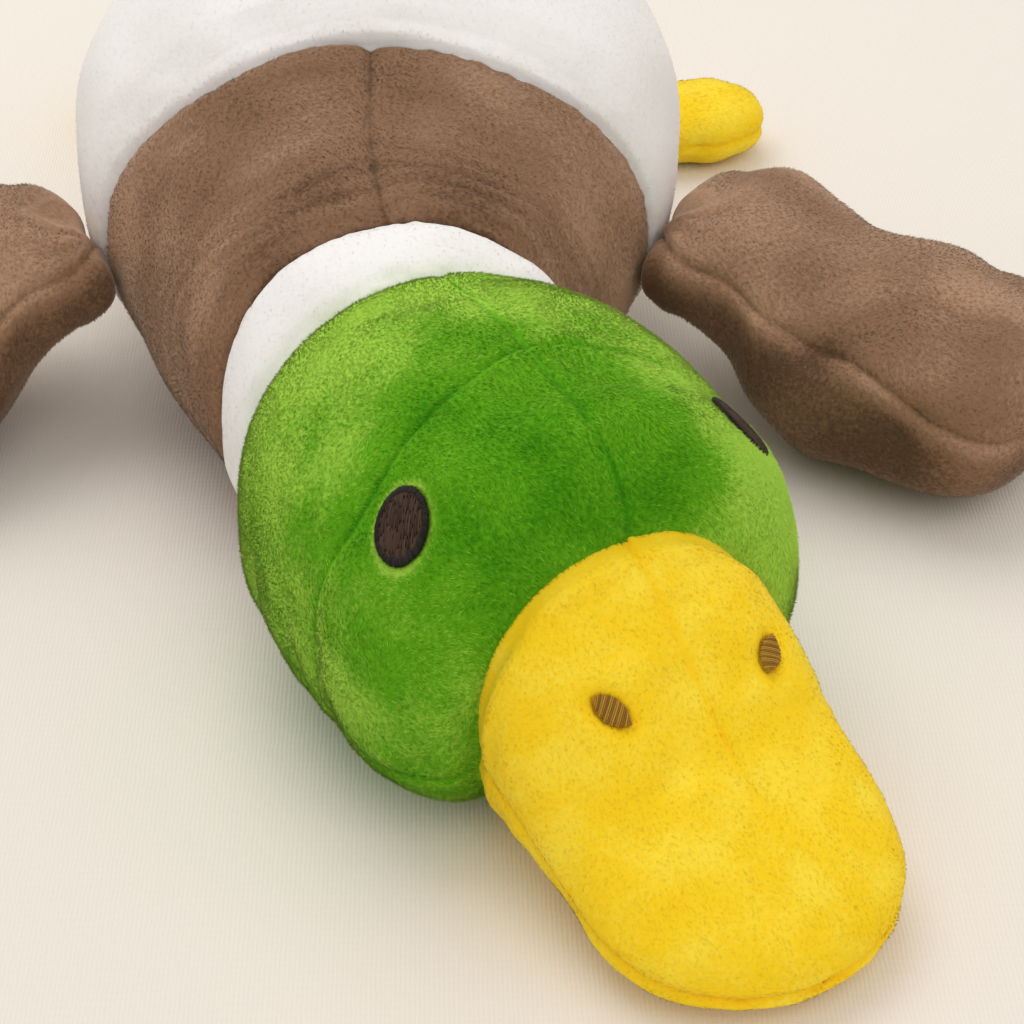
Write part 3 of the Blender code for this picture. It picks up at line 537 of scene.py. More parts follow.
def plush(name, deep, plain, light, tint, sheen):
    """Short pile: three tones by the vertex tone with its painted light and shade, varied by fine noise, with
    a sheen and a fine relief.
    """
    made, nodes, links, shader = new_material(name, plain, 0.85)
    shader.inputs["Specular IOR Level"].default_value = 0.1
    shader.inputs["Sheen Weight"].default_value = sheen
    shader.inputs["Sheen Roughness"].default_value = 0.4
    shader.inputs["Sheen Tint"].default_value = (*tint, 1)
    place, tone_and_painted_light = nodes.new("ShaderNodeTexCoord"), nodes.new("ShaderNodeAttribute")
    tone_and_painted_light.attribute_name = "tone_and_painted_light"
    fine, ramp = nodes.new("ShaderNodeTexNoise"), nodes.new("ShaderNodeValToRGB")
    fine.inputs["Scale"].default_value = 800
    fine.inputs["Detail"].default_value = 3
    links.new(place.outputs["Object"], fine.inputs["Vector"])
    vary = nodes.new("ShaderNodeMath")
    vary.operation = "MULTIPLY_ADD"
    vary.inputs[1].default_value = 0.5
    links.new(fine.outputs["Fac"], vary.inputs[0])
    links.new(tone_and_painted_light.outputs["Fac"], vary.inputs[2])
    ramp.color_ramp.interpolation = "EASE"
    ramp.color_ramp.elements[0].position, ramp.color_ramp.elements[1].position = 0.25, 1.0
    ramp.color_ramp.elements.new(0.62)
    for element, colour in zip(ramp.color_ramp.elements, (deep, plain, light)):
        element.color = (*colour, 1)
    links.new(vary.outputs[0], ramp.inputs["Fac"])
    links.new(ramp.outputs["Color"], shader.inputs["Base Color"])
    rough = nodes.new("ShaderNodeMapRange")
    rough.inputs["To Min"].default_value, rough.inputs["To Max"].default_value = 0.95, 0.75
    links.new(fine.outputs["Fac"], rough.inputs["Value"])
    links.new(rough.outputs["Result"], shader.inputs["Roughness"])
    bump = nodes.new("ShaderNodeBump")
    bump.inputs["Strength"].default_value = 0.25
    bump.inputs["Distance"].default_value = 0.0004
    links.new(fine.outputs["Fac"], bump.inputs["Height"])
    links.new(bump.outputs["Normal"], shader.inputs["Normal"])
    return made


white_plush = plush("white_plush", (0.80, 0.785, 0.77), (0.87, 0.855, 0.84), (0.92, 0.91, 0.90),
                    (1, 1, 1), 0.12)

# The brown chest runs back over the body's edge, which is tucked under it: at its sides as far as the
# wings' front corners, and a little at the top.
SIDE_REACH, TOP_REACH, TUCK = 0.014, 0.0045, 0.0040


def border_reach(angle):
    """How far behind the wing line the chest's border lies: SIDE_REACH times cos(angle)^4, and
    above TOP_REACH times sin(angle)^4."""
    return SIDE_REACH * np.cos(angle) ** 4 + TOP_REACH * np.maximum(np.sin(angle), 0) ** 4


def by_wings(points):
    """1 where the wings' roots are sewn on, fading to 0 from 38 to 62 mm from their hinges."""
    away = [np.linalg.norm(points - HINGES[name], axis=-1) for name in ("wing_left_lift", "wing_right_lift")]
    return 1 - ease(np.minimum(*away), 0.038, 0.062)


shares = np.concatenate([np.linspace(0.012, 0.90, 130), np.linspace(0.905, 1, 40)])
body = Form(body_surface, shares, 260)
from_border = -BODY_LENGTH * np.cos(body.share * QUARTER_TURN) + border_reach(body.angle)
body.seam(np.minimum(from_border, 0), 0.0026, 0.009)
tucked = ease(from_border, -0.0020, -0.0010)
# Under the chest's middle seam, which is sunk, it dives deeper still.
deeper = 1 + 0.9 * np.exp(-((body.from_angle(QUARTER_TURN) / 0.014) ** 2))
body.relief = body.relief * (1 - tucked) - TUCK * tucked * deeper
body.held |= from_border > -0.0015
for line in (-BELLY_SEAM_ANGLE, math.pi + BELLY_SEAM_ANGLE):
    body.seam(body.from_angle(line), 0.0014, 0.006, ease(1 - body.share, 0.0, 0.05))
body.settle(0.006, 0.0014, 1 - by_wings(body.plain))
body.relief += 0.0006 * ripples(body.plain, 0.07, 3)
body.tone_and_painted_light += 0.6 + 0.15 * ripples(body.plain, 0.04, 4)
body.comb += math.pi + 0.7 * ripples(body.plain, 0.05, 5)
body.finish()
body_skin = skin("body_skin", body, white_plush, "torso", (0.002, 0.004))
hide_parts("body_back_panel", "body_belly_panel", "body_stuffing")
# No tufts grow where the feet move past the body.
FOOT_REACH = 0.034
from_feet = np.minimum(*(np.linalg.norm(body.plain - HINGES[name], axis=-1)
                         for name in ("foot_left_lift", "foot_right_lift")))
covered = (body.points[..., 2] > 0.003) & (from_feet > FOOT_REACH)
pile("body_pile", body, np.where(covered, 0.5, 0.0), 0.0014, 0.00045, white_plush, "torso",
     11, 1.42)


# ---------------------------------------------------------------- Brown chest
# A yoke of brown plush between the body and the collar, in two halves sewn along the back and the
# belly. The collar's seam gathers it, so it wrinkles in rings near the neck.
def chest_surface(share, angle):
    """Brown chest: share 0 is the border, share 1 the collar."""
    return torso_section(CHEST_LENGTH * share - border_reach(angle) * (1 - share), angle)


brown_plush = plush("brown_plush", (0.115, 0.062, 0.034), (0.26, 0.147, 0.086), (0.43, 0.26, 0.165),
                    (1.0, 0.8, 0.62), 0.35)

chest = Form(chest_surface, np.linspace(0, 1, 70), 380)
reach = chest.share * CHEST_LENGTH
chest.seam(chest.from_share(0.0), 0.0026, 0.009)
chest.seam(chest.from_share(1.0), 0.0026, 0.008)
for line in (QUARTER_TURN, -QUARTER_TURN):
    chest.seam(chest.from_angle(line), 0.0012, 0.005)
    dimple = np.hypot(chest.from_angle(line), reach - 0.005)
    chest.relief -= 0.0024 * np.exp(-((dimple / 0.007) ** 2))
chest.settle(0.0045, 0.0014, 1 - by_wings(chest.plain))
gather = ease(chest.share, 0.2, 0.75)
wave = np.sin(2 * math.pi * reach / 0.0065 + 3.4 * ripples(chest.plain, 0.045, 21))
chest.relief += 0.0003 * gather * wave * (0.5 + 0.9 * ripples(chest.plain, 0.022, 22))
chest.relief += 0.0009 * ripples(chest.plain, 0.045, 23) * (1 - by_wings(chest.plain))
# Painted shade darkens the wrinkles' hollows and the chest towards the collar, and painted light makes its
# sides lighter.
chest.tone_and_painted_light += (0.45 + 0.14 * ripples(chest.plain, 0.035, 24) - 0.10 * gather * (0.5 - 0.5 * wave)
              - 0.06 * gather)
chest.tone_and_painted_light += 0.17 * ease(np.abs(np.cos(chest.angle)), 0.4, 0.9) - 0.04
chest.comb += 1.2 + 0.8 * ripples(chest.plain, 0.035, 25)
chest.finish()
chest_skin = skin("chest_skin", chest, brown_plush, "torso", (0.003, 0.003))
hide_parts("chest_left", "chest_right", "chest_stuffing")
pile("chest_pile", chest, np.where(chest.points[..., 2] > 0.003, 1.7, 0.0), 0.0015, 0.00042, brown_plush,
     "torso", 12)


# ---------------------------------------------------------------- White collar
# One narrow band of white plush, closed into a ring between the chest and the head.
def collar_surface(share, angle):
    """Collar band, puffed between its two seams by a parabola."""
    puff = COLLAR_PUFF * 4 * share * (1 - share)
    half = COLLAR_WIDTH / 2 + (NECK_WIDTH - COLLAR_WIDTH) / 2 * share + puff
    top = COLLAR_HEIGHT + (NECK_HEIGHT - COLLAR_HEIGHT) * share + puff
    along = CHEST_LENGTH + COLLAR_LENGTH * share
    return section_point(along, COLLAR_LEAN, half, COLLAR_LIFT - puff, top, angle, BACK_POWER, BELLY_POWER)


collar = Form(collar_surface, np.linspace(0, 1, 30), 320)
collar.seam(collar.from_share(0.0), 0.0024, 0.007)
collar.seam(collar.from_share(1.0), 0.0024, 0.007)
collar.settle(0.0035, 0.0008)
collar.relief += 0.0005 * ripples(collar.plain, 0.03, 31)
collar.tone_and_painted_light += 0.7 + 0.12 * ripples(collar.plain, 0.03, 34)
collar.comb += 0.6 * ripples(collar.plain, 0.03, 35)
collar.finish(0.001)
collar_skin = skin("collar_skin", collar, white_plush, None, (0.002, 0.002))
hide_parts("neck_collar", "neck_stuffing")
collar_pile = pile("collar_pile", collar, 0.6, 0.0012, 0.00042, white_plush, None, 13, 1.47)
for piece in (collar_skin, collar_pile):
    on_spine(CHEST_LENGTH, 0, 0.05) + FRAME_SHIFT
    on_spine(CHEST_LENGTH + COLLAR_LENGTH, 0, 0.05) + FRAME_SHIFT
    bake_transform(piece)


# ---------------------------------------------------------------- Green head
# A round padded head of four upper panels that meet along the middle and across the crown, and an
# under panel. The pile's sheen is painted into its green: lime all round, deep green in the middle of the
# face.
HEAD_LENGTH, HEAD_WIDTH, HEAD_HEIGHT = 0.106, 0.1285, 0.0995
HEAD_SEAM_ANGLE, HEAD_MIDDLE_ANGLE = math.radians(20), math.radians(85)
FRONT_DROP_SHARE = 0.12
BILL_LENGTH, BILL_INSET, BILL_WIDTH, BILL_HEIGHT = 0.096, 0.018, 0.082, 0.077
BILL_POWERS, BILL_MIDDLE_SHARE = (2.3, 2.6), 0.26
HEAD_START = CHEST_LENGTH + COLLAR_LENGTH
BILL_START = HEAD_START + HEAD_LENGTH - BILL_INSET


def head_sizes(place):
    """Half width, bottom and top of the head at a place from 0, the collar, to 1, the front."""
    places = [0, 0.08, 0.22, 0.42, 0.60]
    front = (np.maximum(place, places[-1]) - places[-1]) / (1 - places[-1])
    held = np.minimum(place, places[-1])
    widths = np.array([NECK_WIDTH, 0.87 * HEAD_WIDTH, 0.955 * HEAD_WIDTH, HEAD_WIDTH, HEAD_WIDTH])
    half = smooth(places, widths / 2, held) * closing(front, 2.9)
    tops = [NECK_HEIGHT, 0.98 * HEAD_HEIGHT, HEAD_HEIGHT, 0.995 * HEAD_HEIGHT, 0.955 * HEAD_HEIGHT]
    top = smooth(places, tops, held)
    bottom = smooth(places, [COLLAR_LIFT, 0.5 * COLLAR_LIFT, -PRESS, -PRESS, -PRESS], held)
    middle = (bottom + MIDDLE_SHARE * (top - bottom)) * (1 - FRONT_DROP_SHARE * front)
    return (half, middle + (bottom - middle) * closing(front, 3.2),
            middle + (top - middle) * closing(front, 1.85))


def head_surface(share, angle):
    """Green head: share 0 is the collar's seam, share 1 the front, which the bill covers."""
    place = np.sin(np.clip(share, 0, 1) * QUARTER_TURN)
    grown = np.clip(place / 0.22, 0, 1)
    chin_power = BELLY_POWER + (CHIN_POWER - BELLY_POWER) * grown
    return section_point(HEAD_START + HEAD_LENGTH * place, COLLAR_LEAN * (1 - grown), *head_sizes(place),
                         angle, BACK_POWER, chin_power)


def bill_sizes(place):
    """Half width, bottom and top of the bill at a place from 0, inside the head, to 1, the tip."""
    places = [0, 0.25, 0.55, 0.75, 1.0]
    tip = (np.maximum(place, places[2]) - places[2]) / (1 - places[2])
    half = smooth(places, BILL_WIDTH / 2 * np.array([1.04, 1.035, 1.0, 1.0, 0.93]), place) * closing(tip, 2.3)
    top = smooth(places, BILL_HEIGHT * np.array([1.0, 0.80, 0.51, 0.39, 0.30]), place)
    middle = np.minimum(MIDDLE_SHARE * top, BILL_MIDDLE_SHARE * BILL_HEIGHT)
    flat = closing(tip, 3.0)
    return half, middle - (middle + PRESS) * flat, middle + (top - middle) * flat


def bill_surface(share, angle):
    """Yellow bill: share 0 lies inside the head, share 1 is the tip."""
    place = np.sin(np.clip(share, 0, 1) * QUARTER_TURN)
    return section_point(BILL_START + BILL_LENGTH * place, 0, *bill_sizes(place), angle, *BILL_POWERS)


def outside(points, start, length, sizes, powers):
    """How far, nearly, points lie outside a form of the straight front part of the spine: the rounded
    radius of its section there, less one, times the point's distance from the section's middle."""
    away = points - FRAME_SHIFT - on_spine(NECK_BEND_START + NECK_BEND_LENGTH, 0, 0)
    along = away[..., 0] * math.sin(HEAD_TURN) - away[..., 1] * math.cos(HEAD_TURN)
    along = along + NECK_BEND_START + NECK_BEND_LENGTH
    side = away[..., 0] * math.cos(HEAD_TURN) + away[..., 1] * math.sin(HEAD_TURN)
    half, bottom, top = sizes(np.clip((along - start) / length, 0, 0.9995))
    middle = bottom + MIDDLE_SHARE * (top - bottom)
    rise = points[..., 2] - middle
    tall = np.where(rise > 0, top - middle, middle - bottom)
    power = powers[1] + (powers[0] - powers[1]) * (1 + np.sin(np.arctan2(rise, side))) / 2
    radius = ((np.abs(side) / half) ** power + (np.abs(rise) / tall) ** power) ** (1 / power)
    apart = (radius - 1) * np.hypot(side, rise) / np.maximum(radius, 1e-6)
    return np.maximum(apart, np.maximum(along - start - length, start - along))


def crown_seam(angle):
    """Share of the head where the seam from the crown down behind the eyes crosses an angle."""
    steep = np.abs(np.sin((angle - HEAD_MIDDLE_ANGLE) / 2))
    return smooth([0, 0.25, 0.5, 0.75, 1], [0.273, 0.328, 0.388, 0.385, 0.37], steep)


def patch_axes(surface, share, angle, turn):
    """Middle, normal, long way and cross way of an embroidered oval that is turned on a surface."""
    step = 0.0005
    middle = surface(np.array(share), np.array(angle))
    along = unit(surface(np.array(share + step), np.array(angle)) - middle)
    around = unit(surface(np.array(share), np.array(angle + step)) - middle)
    normal = unit(np.cross(around, along))
    around = np.cross(along, normal)
    long_way = along * math.cos(turn) + around * math.sin(turn)
    return middle, normal, long_way, np.cross(long_way, normal)


def oval_radius(points, axes, length, width):
    """0 in the middle of an embroidered oval, 1 on its outline, and over 100 on the form's far side."""
    away = points - axes[0]
    radius = np.hypot(away @ axes[2] / (length / 2), away @ axes[3] / (width / 2))
    return radius + 100 * (away @ axes[1] < -0.02)


EYE_LENGTH, EYE_WIDTH, EYE_SHARE = 0.0194, 0.0132, 0.47
EYE_ANGLE, EYE_TILT = math.radians(47), math.radians(40)
eye_axes = {side: patch_axes(head_surface, EYE_SHARE, HEAD_MIDDLE_ANGLE - sign * EYE_ANGLE, -sign * EYE_TILT)
            for side, sign in (("left", 1), ("right", -1))}

green_plush = plush("green_plush", (0.034, 0.225, 0.001), (0.115, 0.395, 0.007), (0.37, 0.67, 0.065),
                    (0.8, 1.0, 0.2), 0.28)

head = Form(head_surface, np.linspace(0.0, 0.995, 170), 340)
off_bill = outside(head.plain, BILL_START, BILL_LENGTH, bill_sizes, BILL_POWERS)
head.seam(head.from_share(0.0), 0.0024, 0.008)
head.relief += groove(np.maximum(off_bill, 0), 0.0026, 0.008)
head.held |= off_bill < 0.001
head.seam(head.from_angle(HEAD_MIDDLE_ANGLE), 0.0008, 0.0032)
for line in (-HEAD_SEAM_ANGLE, math.pi + HEAD_SEAM_ANGLE):
    head.seam(head.from_angle(line), 0.0007, 0.0036)
head.seam(head.from_share(crown_seam(head.angle)), 0.0008, 0.0032, ease(np.sin(head.angle), -0.342, -0.30))
head.settle(0.0045, 0.0009)
head.relief += 0.0004 * ripples(head.plain, 0.04, 51)
# Painted sheen: deep green in the middle of the face, lighter lime away from it all round, more so at the
# back of the top and on the left side.
face_middle = head_surface(np.array(0.55), np.array(math.radians(104)))
from_face = np.linalg.norm(head.plain - face_middle, axis=-1)
head.tone_and_painted_light += 0.21 + 0.09 * ripples(head.plain, 0.030, 52) + 0.05 * ripples(head.plain, 0.012, 53)
head.tone_and_painted_light += 0.43 * ease(from_face + 0.008 * ripples(head.plain, 0.05, 56), 0.012, 0.085)
head.tone_and_painted_light += 0.20 * ease(0.35 - head.share, 0, 0.35) * ease(np.sin(head.angle), 0.2, 0.9)
head.tone_and_painted_light += 0.24 * ease(np.cos(head.angle), 0.3, 0.9)
# Painted shade: darker low on the head, near the floor.
head.tone_and_painted_light -= 0.27 * ease(0.045 - head.plain[..., 2], 0, 0.04)
head.comb += 0.5 + 0.9 * ripples(head.plain, 0.032, 54) + 0.5 * ripples(head.plain, 0.014, 55)
for axes in eye_axes.values():
    radius = oval_radius(head.plain, axes, EYE_LENGTH, EYE_WIDTH)
    beside = np.exp(-((np.maximum(radius, 1) - 1) / 0.4) ** 2)
    head.relief -= 0.0022 * ease(-radius, -1.02, -0.9) + 0.0006 * beside
    # Painted light: the pile is lighter in a ring just outside each eye.
    head.tone_and_painted_light += 0.38 * np.exp(-((radius - 1.12) / 0.16) ** 2)
    head.bare |= radius < 1.0
head.finish()
head_skin = skin("head_skin", head, green_plush, "head", (0.003, 0.0))
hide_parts("head_back_left", "head_back_right", "head_front_left", "head_front_right",
            "head_under_panel", "head_stuffing")
shown = (off_bill > -0.0005) & (head.points[..., 2] > 0.002)
in_front, on_left = head.share > 0.4, np.cos(head.angle) > 0
quarters = {"front_left": in_front & on_left, "back_left": ~in_front & on_left,
            "front_right": in_front & ~on_left, "back_right": ~in_front & ~on_left}
for seed, (quarter, within) in enumerate(quarters.items(), 60):
    pile("head_pile_" + quarter, head, np.where(shown & within, 4.0, 0.0), 0.0016, 0.00036, green_plush,
         "head", seed)


# ---------------------------------------------------------------- Yellow bill
# A long padded bill of two upper panels, sewn along the middle, and a lower panel whose edge shows
# as a lip round the tip. It is sewn into the head's front.
NOSTRIL_LENGTH, NOSTRIL_WIDTH, NOSTRIL_SHARE = 0.0100, 0.0058, 0.232
NOSTRIL_ANGLE, NOSTRIL_TILT = math.radians(31), math.radians(35)
nostril_axes = {side: patch_axes(bill_surface, NOSTRIL_SHARE, HEAD_MIDDLE_ANGLE - sign * NOSTRIL_ANGLE,
                                 sign * NOSTRIL_TILT)
                for side, sign in (("left", 1), ("right", -1))}

yellow_plush = plush("yellow_plush", (0.95, 0.52, 0.008), (0.98, 0.66, 0.014), (0.99, 0.76, 0.05),
                     (1.0, 0.9, 0.3), 0.2)

bill = Form(bill_surface, np.concatenate([np.linspace(0.0, 0.95, 118), np.linspace(0.955, 0.998, 14)]), 320)
off_head = outside(bill.plain, HEAD_START, HEAD_LENGTH, head_sizes, (BACK_POWER, CHIN_POWER))
bill.relief += groove(np.maximum(off_head, 0), 0.0016, 0.006)
bill.held |= off_head < 0.001
bill.seam(bill.from_angle(HEAD_MIDDLE_ANGLE), 0.0008, 0.0028, ease(0.62 - bill.share, 0.0, 0.35))
for line in (0.0, math.pi):
    bill.seam(bill.from_angle(line), 0.0010, 0.0042)
bill.settle(0.004, 0.0007)
bill.relief += 0.00035 * ripples(bill.plain, 0.035, 41)
bill.tone_and_painted_light += 0.5 + 0.10 * ripples(bill.plain, 0.022, 42) + 0.08 * ripples(bill.plain, 0.009, 43)
bill.comb += 0.9 * ripples(bill.plain, 0.028, 44) + 0.6 * ripples(bill.plain, 0.012, 45)
for axes in nostril_axes.values():
    radius = oval_radius(bill.plain, axes, NOSTRIL_LENGTH, NOSTRIL_WIDTH)
    beside = np.exp(-((np.maximum(radius, 1) - 1) / 0.8) ** 2)
    bill.relief -= 0.0020 * ease(-radius, -1.02, -0.85) + 0.0008 * beside
    # Painted shade: darker in the hollow round each nostril.
    bill.tone_and_painted_light -= 0.25 * np.exp(-((radius - 1.2) / 0.4) ** 2)
    bill.bare |= radius < 0.98
bill.finish()
bill_skin = skin("bill_skin", bill, yellow_plush, "head", (0.0, 0.0005))
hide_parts("bill_upper_left", "bill_upper_right", "bill_lower", "bill_stuffing")
shown = (off_head > -0.0005) & (bill.points[..., 2] > 0.002)
on_left = np.cos(bill.angle) > 0
for seed, (side, within) in enumerate((("left", on_left), ("right", ~on_left)), 70):
    pile("bill_pile_" + side, bill, np.where(shown & within, 1.8, 0.0), 0.0013, 0.00036, yellow_plush,
         "head", seed, 1.43)


# ---------------------------------------------------------------- Embroidered eyes and nostrils
# Each eye is a brown fill of rows of stitches inside a charcoal satin border, sewn down into the pile.
# Each nostril is one row of olive satin stitches. All are shiny polyester thread.
def thread_material(name, dark, light):
    """Satin thread, tighter in gloss than plush, each stitch of its own tone between two colours."""
    made, nodes, links, shader = new_material(name, light, 0.5)
    place, noise = nodes.new("ShaderNodeTexCoord"), nodes.new("ShaderNodeTexNoise")
    tone, tone_and_painted_light = nodes.new("ShaderNodeMix"), nodes.new("ShaderNodeAttribute")
    tone_and_painted_light.attribute_name = "tone_and_painted_light"
    noise.inputs["Scale"].default_value = 2500
    links.new(place.outputs["Object"], noise.inputs["Vector"])
    tone.data_type = "RGBA"
    tone.inputs[6].default_value, tone.inputs[7].default_value = (*dark, 1), (*light, 1)
    links.new(tone_and_painted_light.outputs["Fac"], tone.inputs[0])
    links.new(tone.outputs[2], shader.inputs["Base Color"])
    rough = nodes.new("ShaderNodeMapRange")
    rough.inputs["To Min"].default_value, rough.inputs["To Max"].default_value = 0.40, 0.62
    links.new(noise.outputs["Fac"], rough.inputs["Value"])
    links.new(rough.outputs["Result"], shader.inputs["Roughness"])
    return made


STITCH_SIDES, STITCH_POINTS, STITCH_DIVE, END_DIVE = 6, 7, 0.0002, 0.0006


def stitches(name, starts, ends, lift, radius, normal, material):
    """Satin stitches: one closed thread from each start to its end. With t from -1 to 1 along it, it
    bows out by lift times 1 - t^4 and dives in by STITCH_DIVE times t^4. Rings of STITCH_SIDES points
    run round the path, and a point closes each end."""
    t = np.linspace(-1, 1, STITCH_POINTS)[None, :, None]
    rise = normal * (lift * (1 - t ** 4) - STITCH_DIVE * t ** 4)
    path = (starts[:, None] * (1 - t) + ends[:, None] * (1 + t)) / 2 + rise
    way = unit(ends - starts)[:, None, None]
    side = unit(np.cross(way, normal))
    turn = np.arange(STITCH_SIDES) * 2 * math.pi / STITCH_SIDES
    ring = side * np.cos(turn)[:, None] + normal * np.sin(turn)[:, None]
    rings = path[:, :, None] + ring * radius
    count, along = len(starts), rings.shape[1]
    tips = [place[:, None] - normal * END_DIVE for place in (starts, ends)]
    points = np.concatenate([rings.reshape(count, -1, 3), *tips], 1)
    i, j = np.meshgrid(np.arange(along - 1), np.arange(STITCH_SIDES), indexing="ij")
    i, j, k = i.ravel(), j.ravel(), (j.ravel() + 1) % STITCH_SIDES
    quads = np.stack([i * STITCH_SIDES + j, (i + 1) * STITCH_SIDES + j,
                      (i + 1) * STITCH_SIDES + k, i * STITCH_SIDES + k], 1)
    round_it = np.arange(STITCH_SIDES)
    first = np.stack([round_it, np.roll(round_it, -1), np.full(STITCH_SIDES, along * STITCH_SIDES)], 1)
    last = np.stack([np.roll(round_it, -1), round_it, np.full(STITCH_SIDES, along * STITCH_SIDES + 1)], 1)
    last[:, :2] += (along - 1) * STITCH_SIDES
    base = np.arange(count)[:, None, None] * points.shape[1]
    faces = [(part + base).reshape(-1, part.shape[1]) for part in (quads, first, last)]
    row = np.arange(count)[:, None]
    places = []
    for part in (quads, first, last):
        turn_share = np.minimum(part % STITCH_SIDES, STITCH_SIDES - 1) / STITCH_SIDES
        across_map = (row[..., None] + 0.1 + 0.8 * turn_share) / count
        along_map = (part // STITCH_SIDES + 0.5) / (along + 2)
        flat = np.stack(np.broadcast_arrays(across_map, along_map), -1)
        places.append(flat.reshape(-1, part.shape[1], 2))
    obj = show(name, points.reshape(-1, 3), faces, places, material, "head")
    write_tone_and_painted_light(obj, np.repeat(np.random.default_rng(count).random(count), points.shape[1]))
    return obj


PATCH_REACH = 0.012


def quadratic(along, across):
    """The six terms of a quadratic in two ways: squares, product, each way and 1."""
    return np.stack([along ** 2, along * across, across ** 2, along, across, np.ones_like(along)], -1)


def on_patch(surface_form, axes, along, across):
    """Points of a patch: the quadratic in its two ways that least squares fits to the form's plain
    points within PATCH_REACH of its middle."""
    away = surface_form.plain.reshape(-1, 3) - axes[0]
    near = np.linalg.norm(away, axis=-1) < PATCH_REACH
    local = np.stack([away[near] @ axes[2], away[near] @ axes[3], away[near] @ axes[1]], 1)
    curve = np.linalg.lstsq(quadratic(local[:, 0], local[:, 1]), local[:, 2], rcond=None)[0]
    rise = quadratic(along, across) @ curve
    return axes[0] + along[..., None] * axes[2] + across[..., None] * axes[3] + rise[..., None] * axes[1]


brown_thread = thread_material("dark_brown_thread", (0.030, 0.015, 0.009), (0.085, 0.045, 0.028))
charcoal_thread = thread_material("charcoal_thread", (0.009, 0.007, 0.006), (0.028, 0.022, 0.017))
olive_thread = thread_material("olive_thread", (0.20, 0.095, 0.010), (0.50, 0.27, 0.035))
EYE_ROWS, EYE_ROW_PITCH, LONGEST_STITCH, BORDER_STITCHES, NOSTRIL_ROWS = 37, 0.00033, 0.0062, 112, 21
rng = np.random.default_rng(80)
for side, axes in eye_axes.items():
    across = (np.arange(EYE_ROWS) - (EYE_ROWS - 1) / 2) * EYE_ROW_PITCH
    half = EYE_LENGTH / 2 * 0.93 * np.sqrt(np.clip(1 - (across / (EYE_WIDTH / 2 * 0.92)) ** 2, 0.02, 1))
    pieces = []
    for row in range(EYE_ROWS):
        first_cut = -half[row] + rng.uniform(0.0010, LONGEST_STITCH)
        cuts = np.arange(first_cut, half[row] - 0.0012, LONGEST_STITCH)
        stops = np.concatenate([[-half[row]], cuts, [half[row]]])
        pieces.append(np.stack([stops[:-1], stops[1:], np.full(len(stops) - 1, across[row])], 1))
    pieces = np.concatenate(pieces)
    starts = on_patch(head, axes, pieces[:, 0], pieces[:, 2])
    ends = on_patch(head, axes, pieces[:, 1], pieces[:, 2])
    eye_fill = stitches("eye_fill_" + side, starts, ends, 0.00022, 0.00023, axes[1], brown_thread)
    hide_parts("eye_" + side)
    around = np.arange(BORDER_STITCHES) * 2 * math.pi / BORDER_STITCHES
    inner = 0.80 + rng.uniform(-0.02, 0.02, BORDER_STITCHES)
    outer = 1.02 + rng.uniform(-0.015, 0.015, BORDER_STITCHES)
    starts, ends = (on_patch(head, axes, EYE_LENGTH / 2 * size * np.cos(turn),
                             EYE_WIDTH / 2 * size * np.sin(turn))
                    for size, turn in ((inner, around), (outer, around + 0.05)))
    stitches("eye_border_" + side, starts, ends, 0.00045, 0.00024, axes[1], charcoal_thread)
for side, axes in nostril_axes.items():
    along = np.linspace(-0.97, 0.97, NOSTRIL_ROWS) * NOSTRIL_LENGTH / 2
    almond = NOSTRIL_WIDTH / 2 * (1 - (2 * along / NOSTRIL_LENGTH) ** 2) ** 0.62
    half = almond * rng.uniform(0.95, 1.08, NOSTRIL_ROWS)
    slant = 0.0006
    starts = on_patch(bill, axes, along - slant, -half)
    ends = on_patch(bill, axes, along + slant, half)
    nostril = stitches("nostril_satin_" + side, starts, ends, 0.0004, 0.00022, axes[1], olive_thread)
    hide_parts("nostril_" + side)


# ---------------------------------------------------------------- Brown wings
# Two fat padded paddles, each of an upper and a lower panel of the chest's brown plush, sewn all
# round. The root is gathered where it is sewn to the body's side, so folds run out from its corner.
WING_LENGTH, WING_WIDTH, WING_THICKNESS = 0.112, 0.088, 0.058
WING_ROOT_RADIUS, WING_ROOT_WIDTH = 0.0165, 0.070
WING_SWEEP = math.radians(27)


def paddle_surface(seat, outward, sizes, table_shares, settled_share, rest_height):
    """Flat stuffed limb from a sewn root, round about its hinge line, to an oval end. A place runs
    from -radius to length as -cos of the share. Each row of the table gives a place, then shares of
    the width, thickness and width again, for the outline, the padding and the sideways shift."""
    length, width, thickness, radius, root_width = sizes
    places, width_shares, depth_shares, shift_shares = np.array(table_shares).T
    side, last = np.cross(UP, outward), places[-1]
    widths = np.concatenate([[root_width], width * width_shares[1:]])
    depths = np.concatenate([[2 * radius], thickness * depth_shares[1:]])

    def surface(share, angle):
        place = -radius / length + (1 + radius / length) * (1 - np.cos(share * HALF_TURN)) / 2
        far = (np.maximum(place, last) - last) / (1 - last)
        near = np.clip(-place * length / radius, 0, 1)
        held = np.clip(place, 0, last)
        half = smooth(places, widths, held) / 2 * closing(far, 2.2) * closing(near, 3)
        deep = smooth(places, depths, held) / 2 * closing(far, 2.8) * closing(near, 2)
        shift = smooth(places, width * shift_shares, held)
        sinking = np.clip(place / settled_share, 0, 1)
        level = seat[2] + (rest_height - seat[2]) * sinking * sinking * (3 - 2 * sinking)
        across, up = round_section(angle, 2.2)
        flat = outward * (place * length)[..., None] + side * (across * half + shift)[..., None]
        return seat + flat + UP * (level - seat[2] + up * deep)[..., None]

    return surface


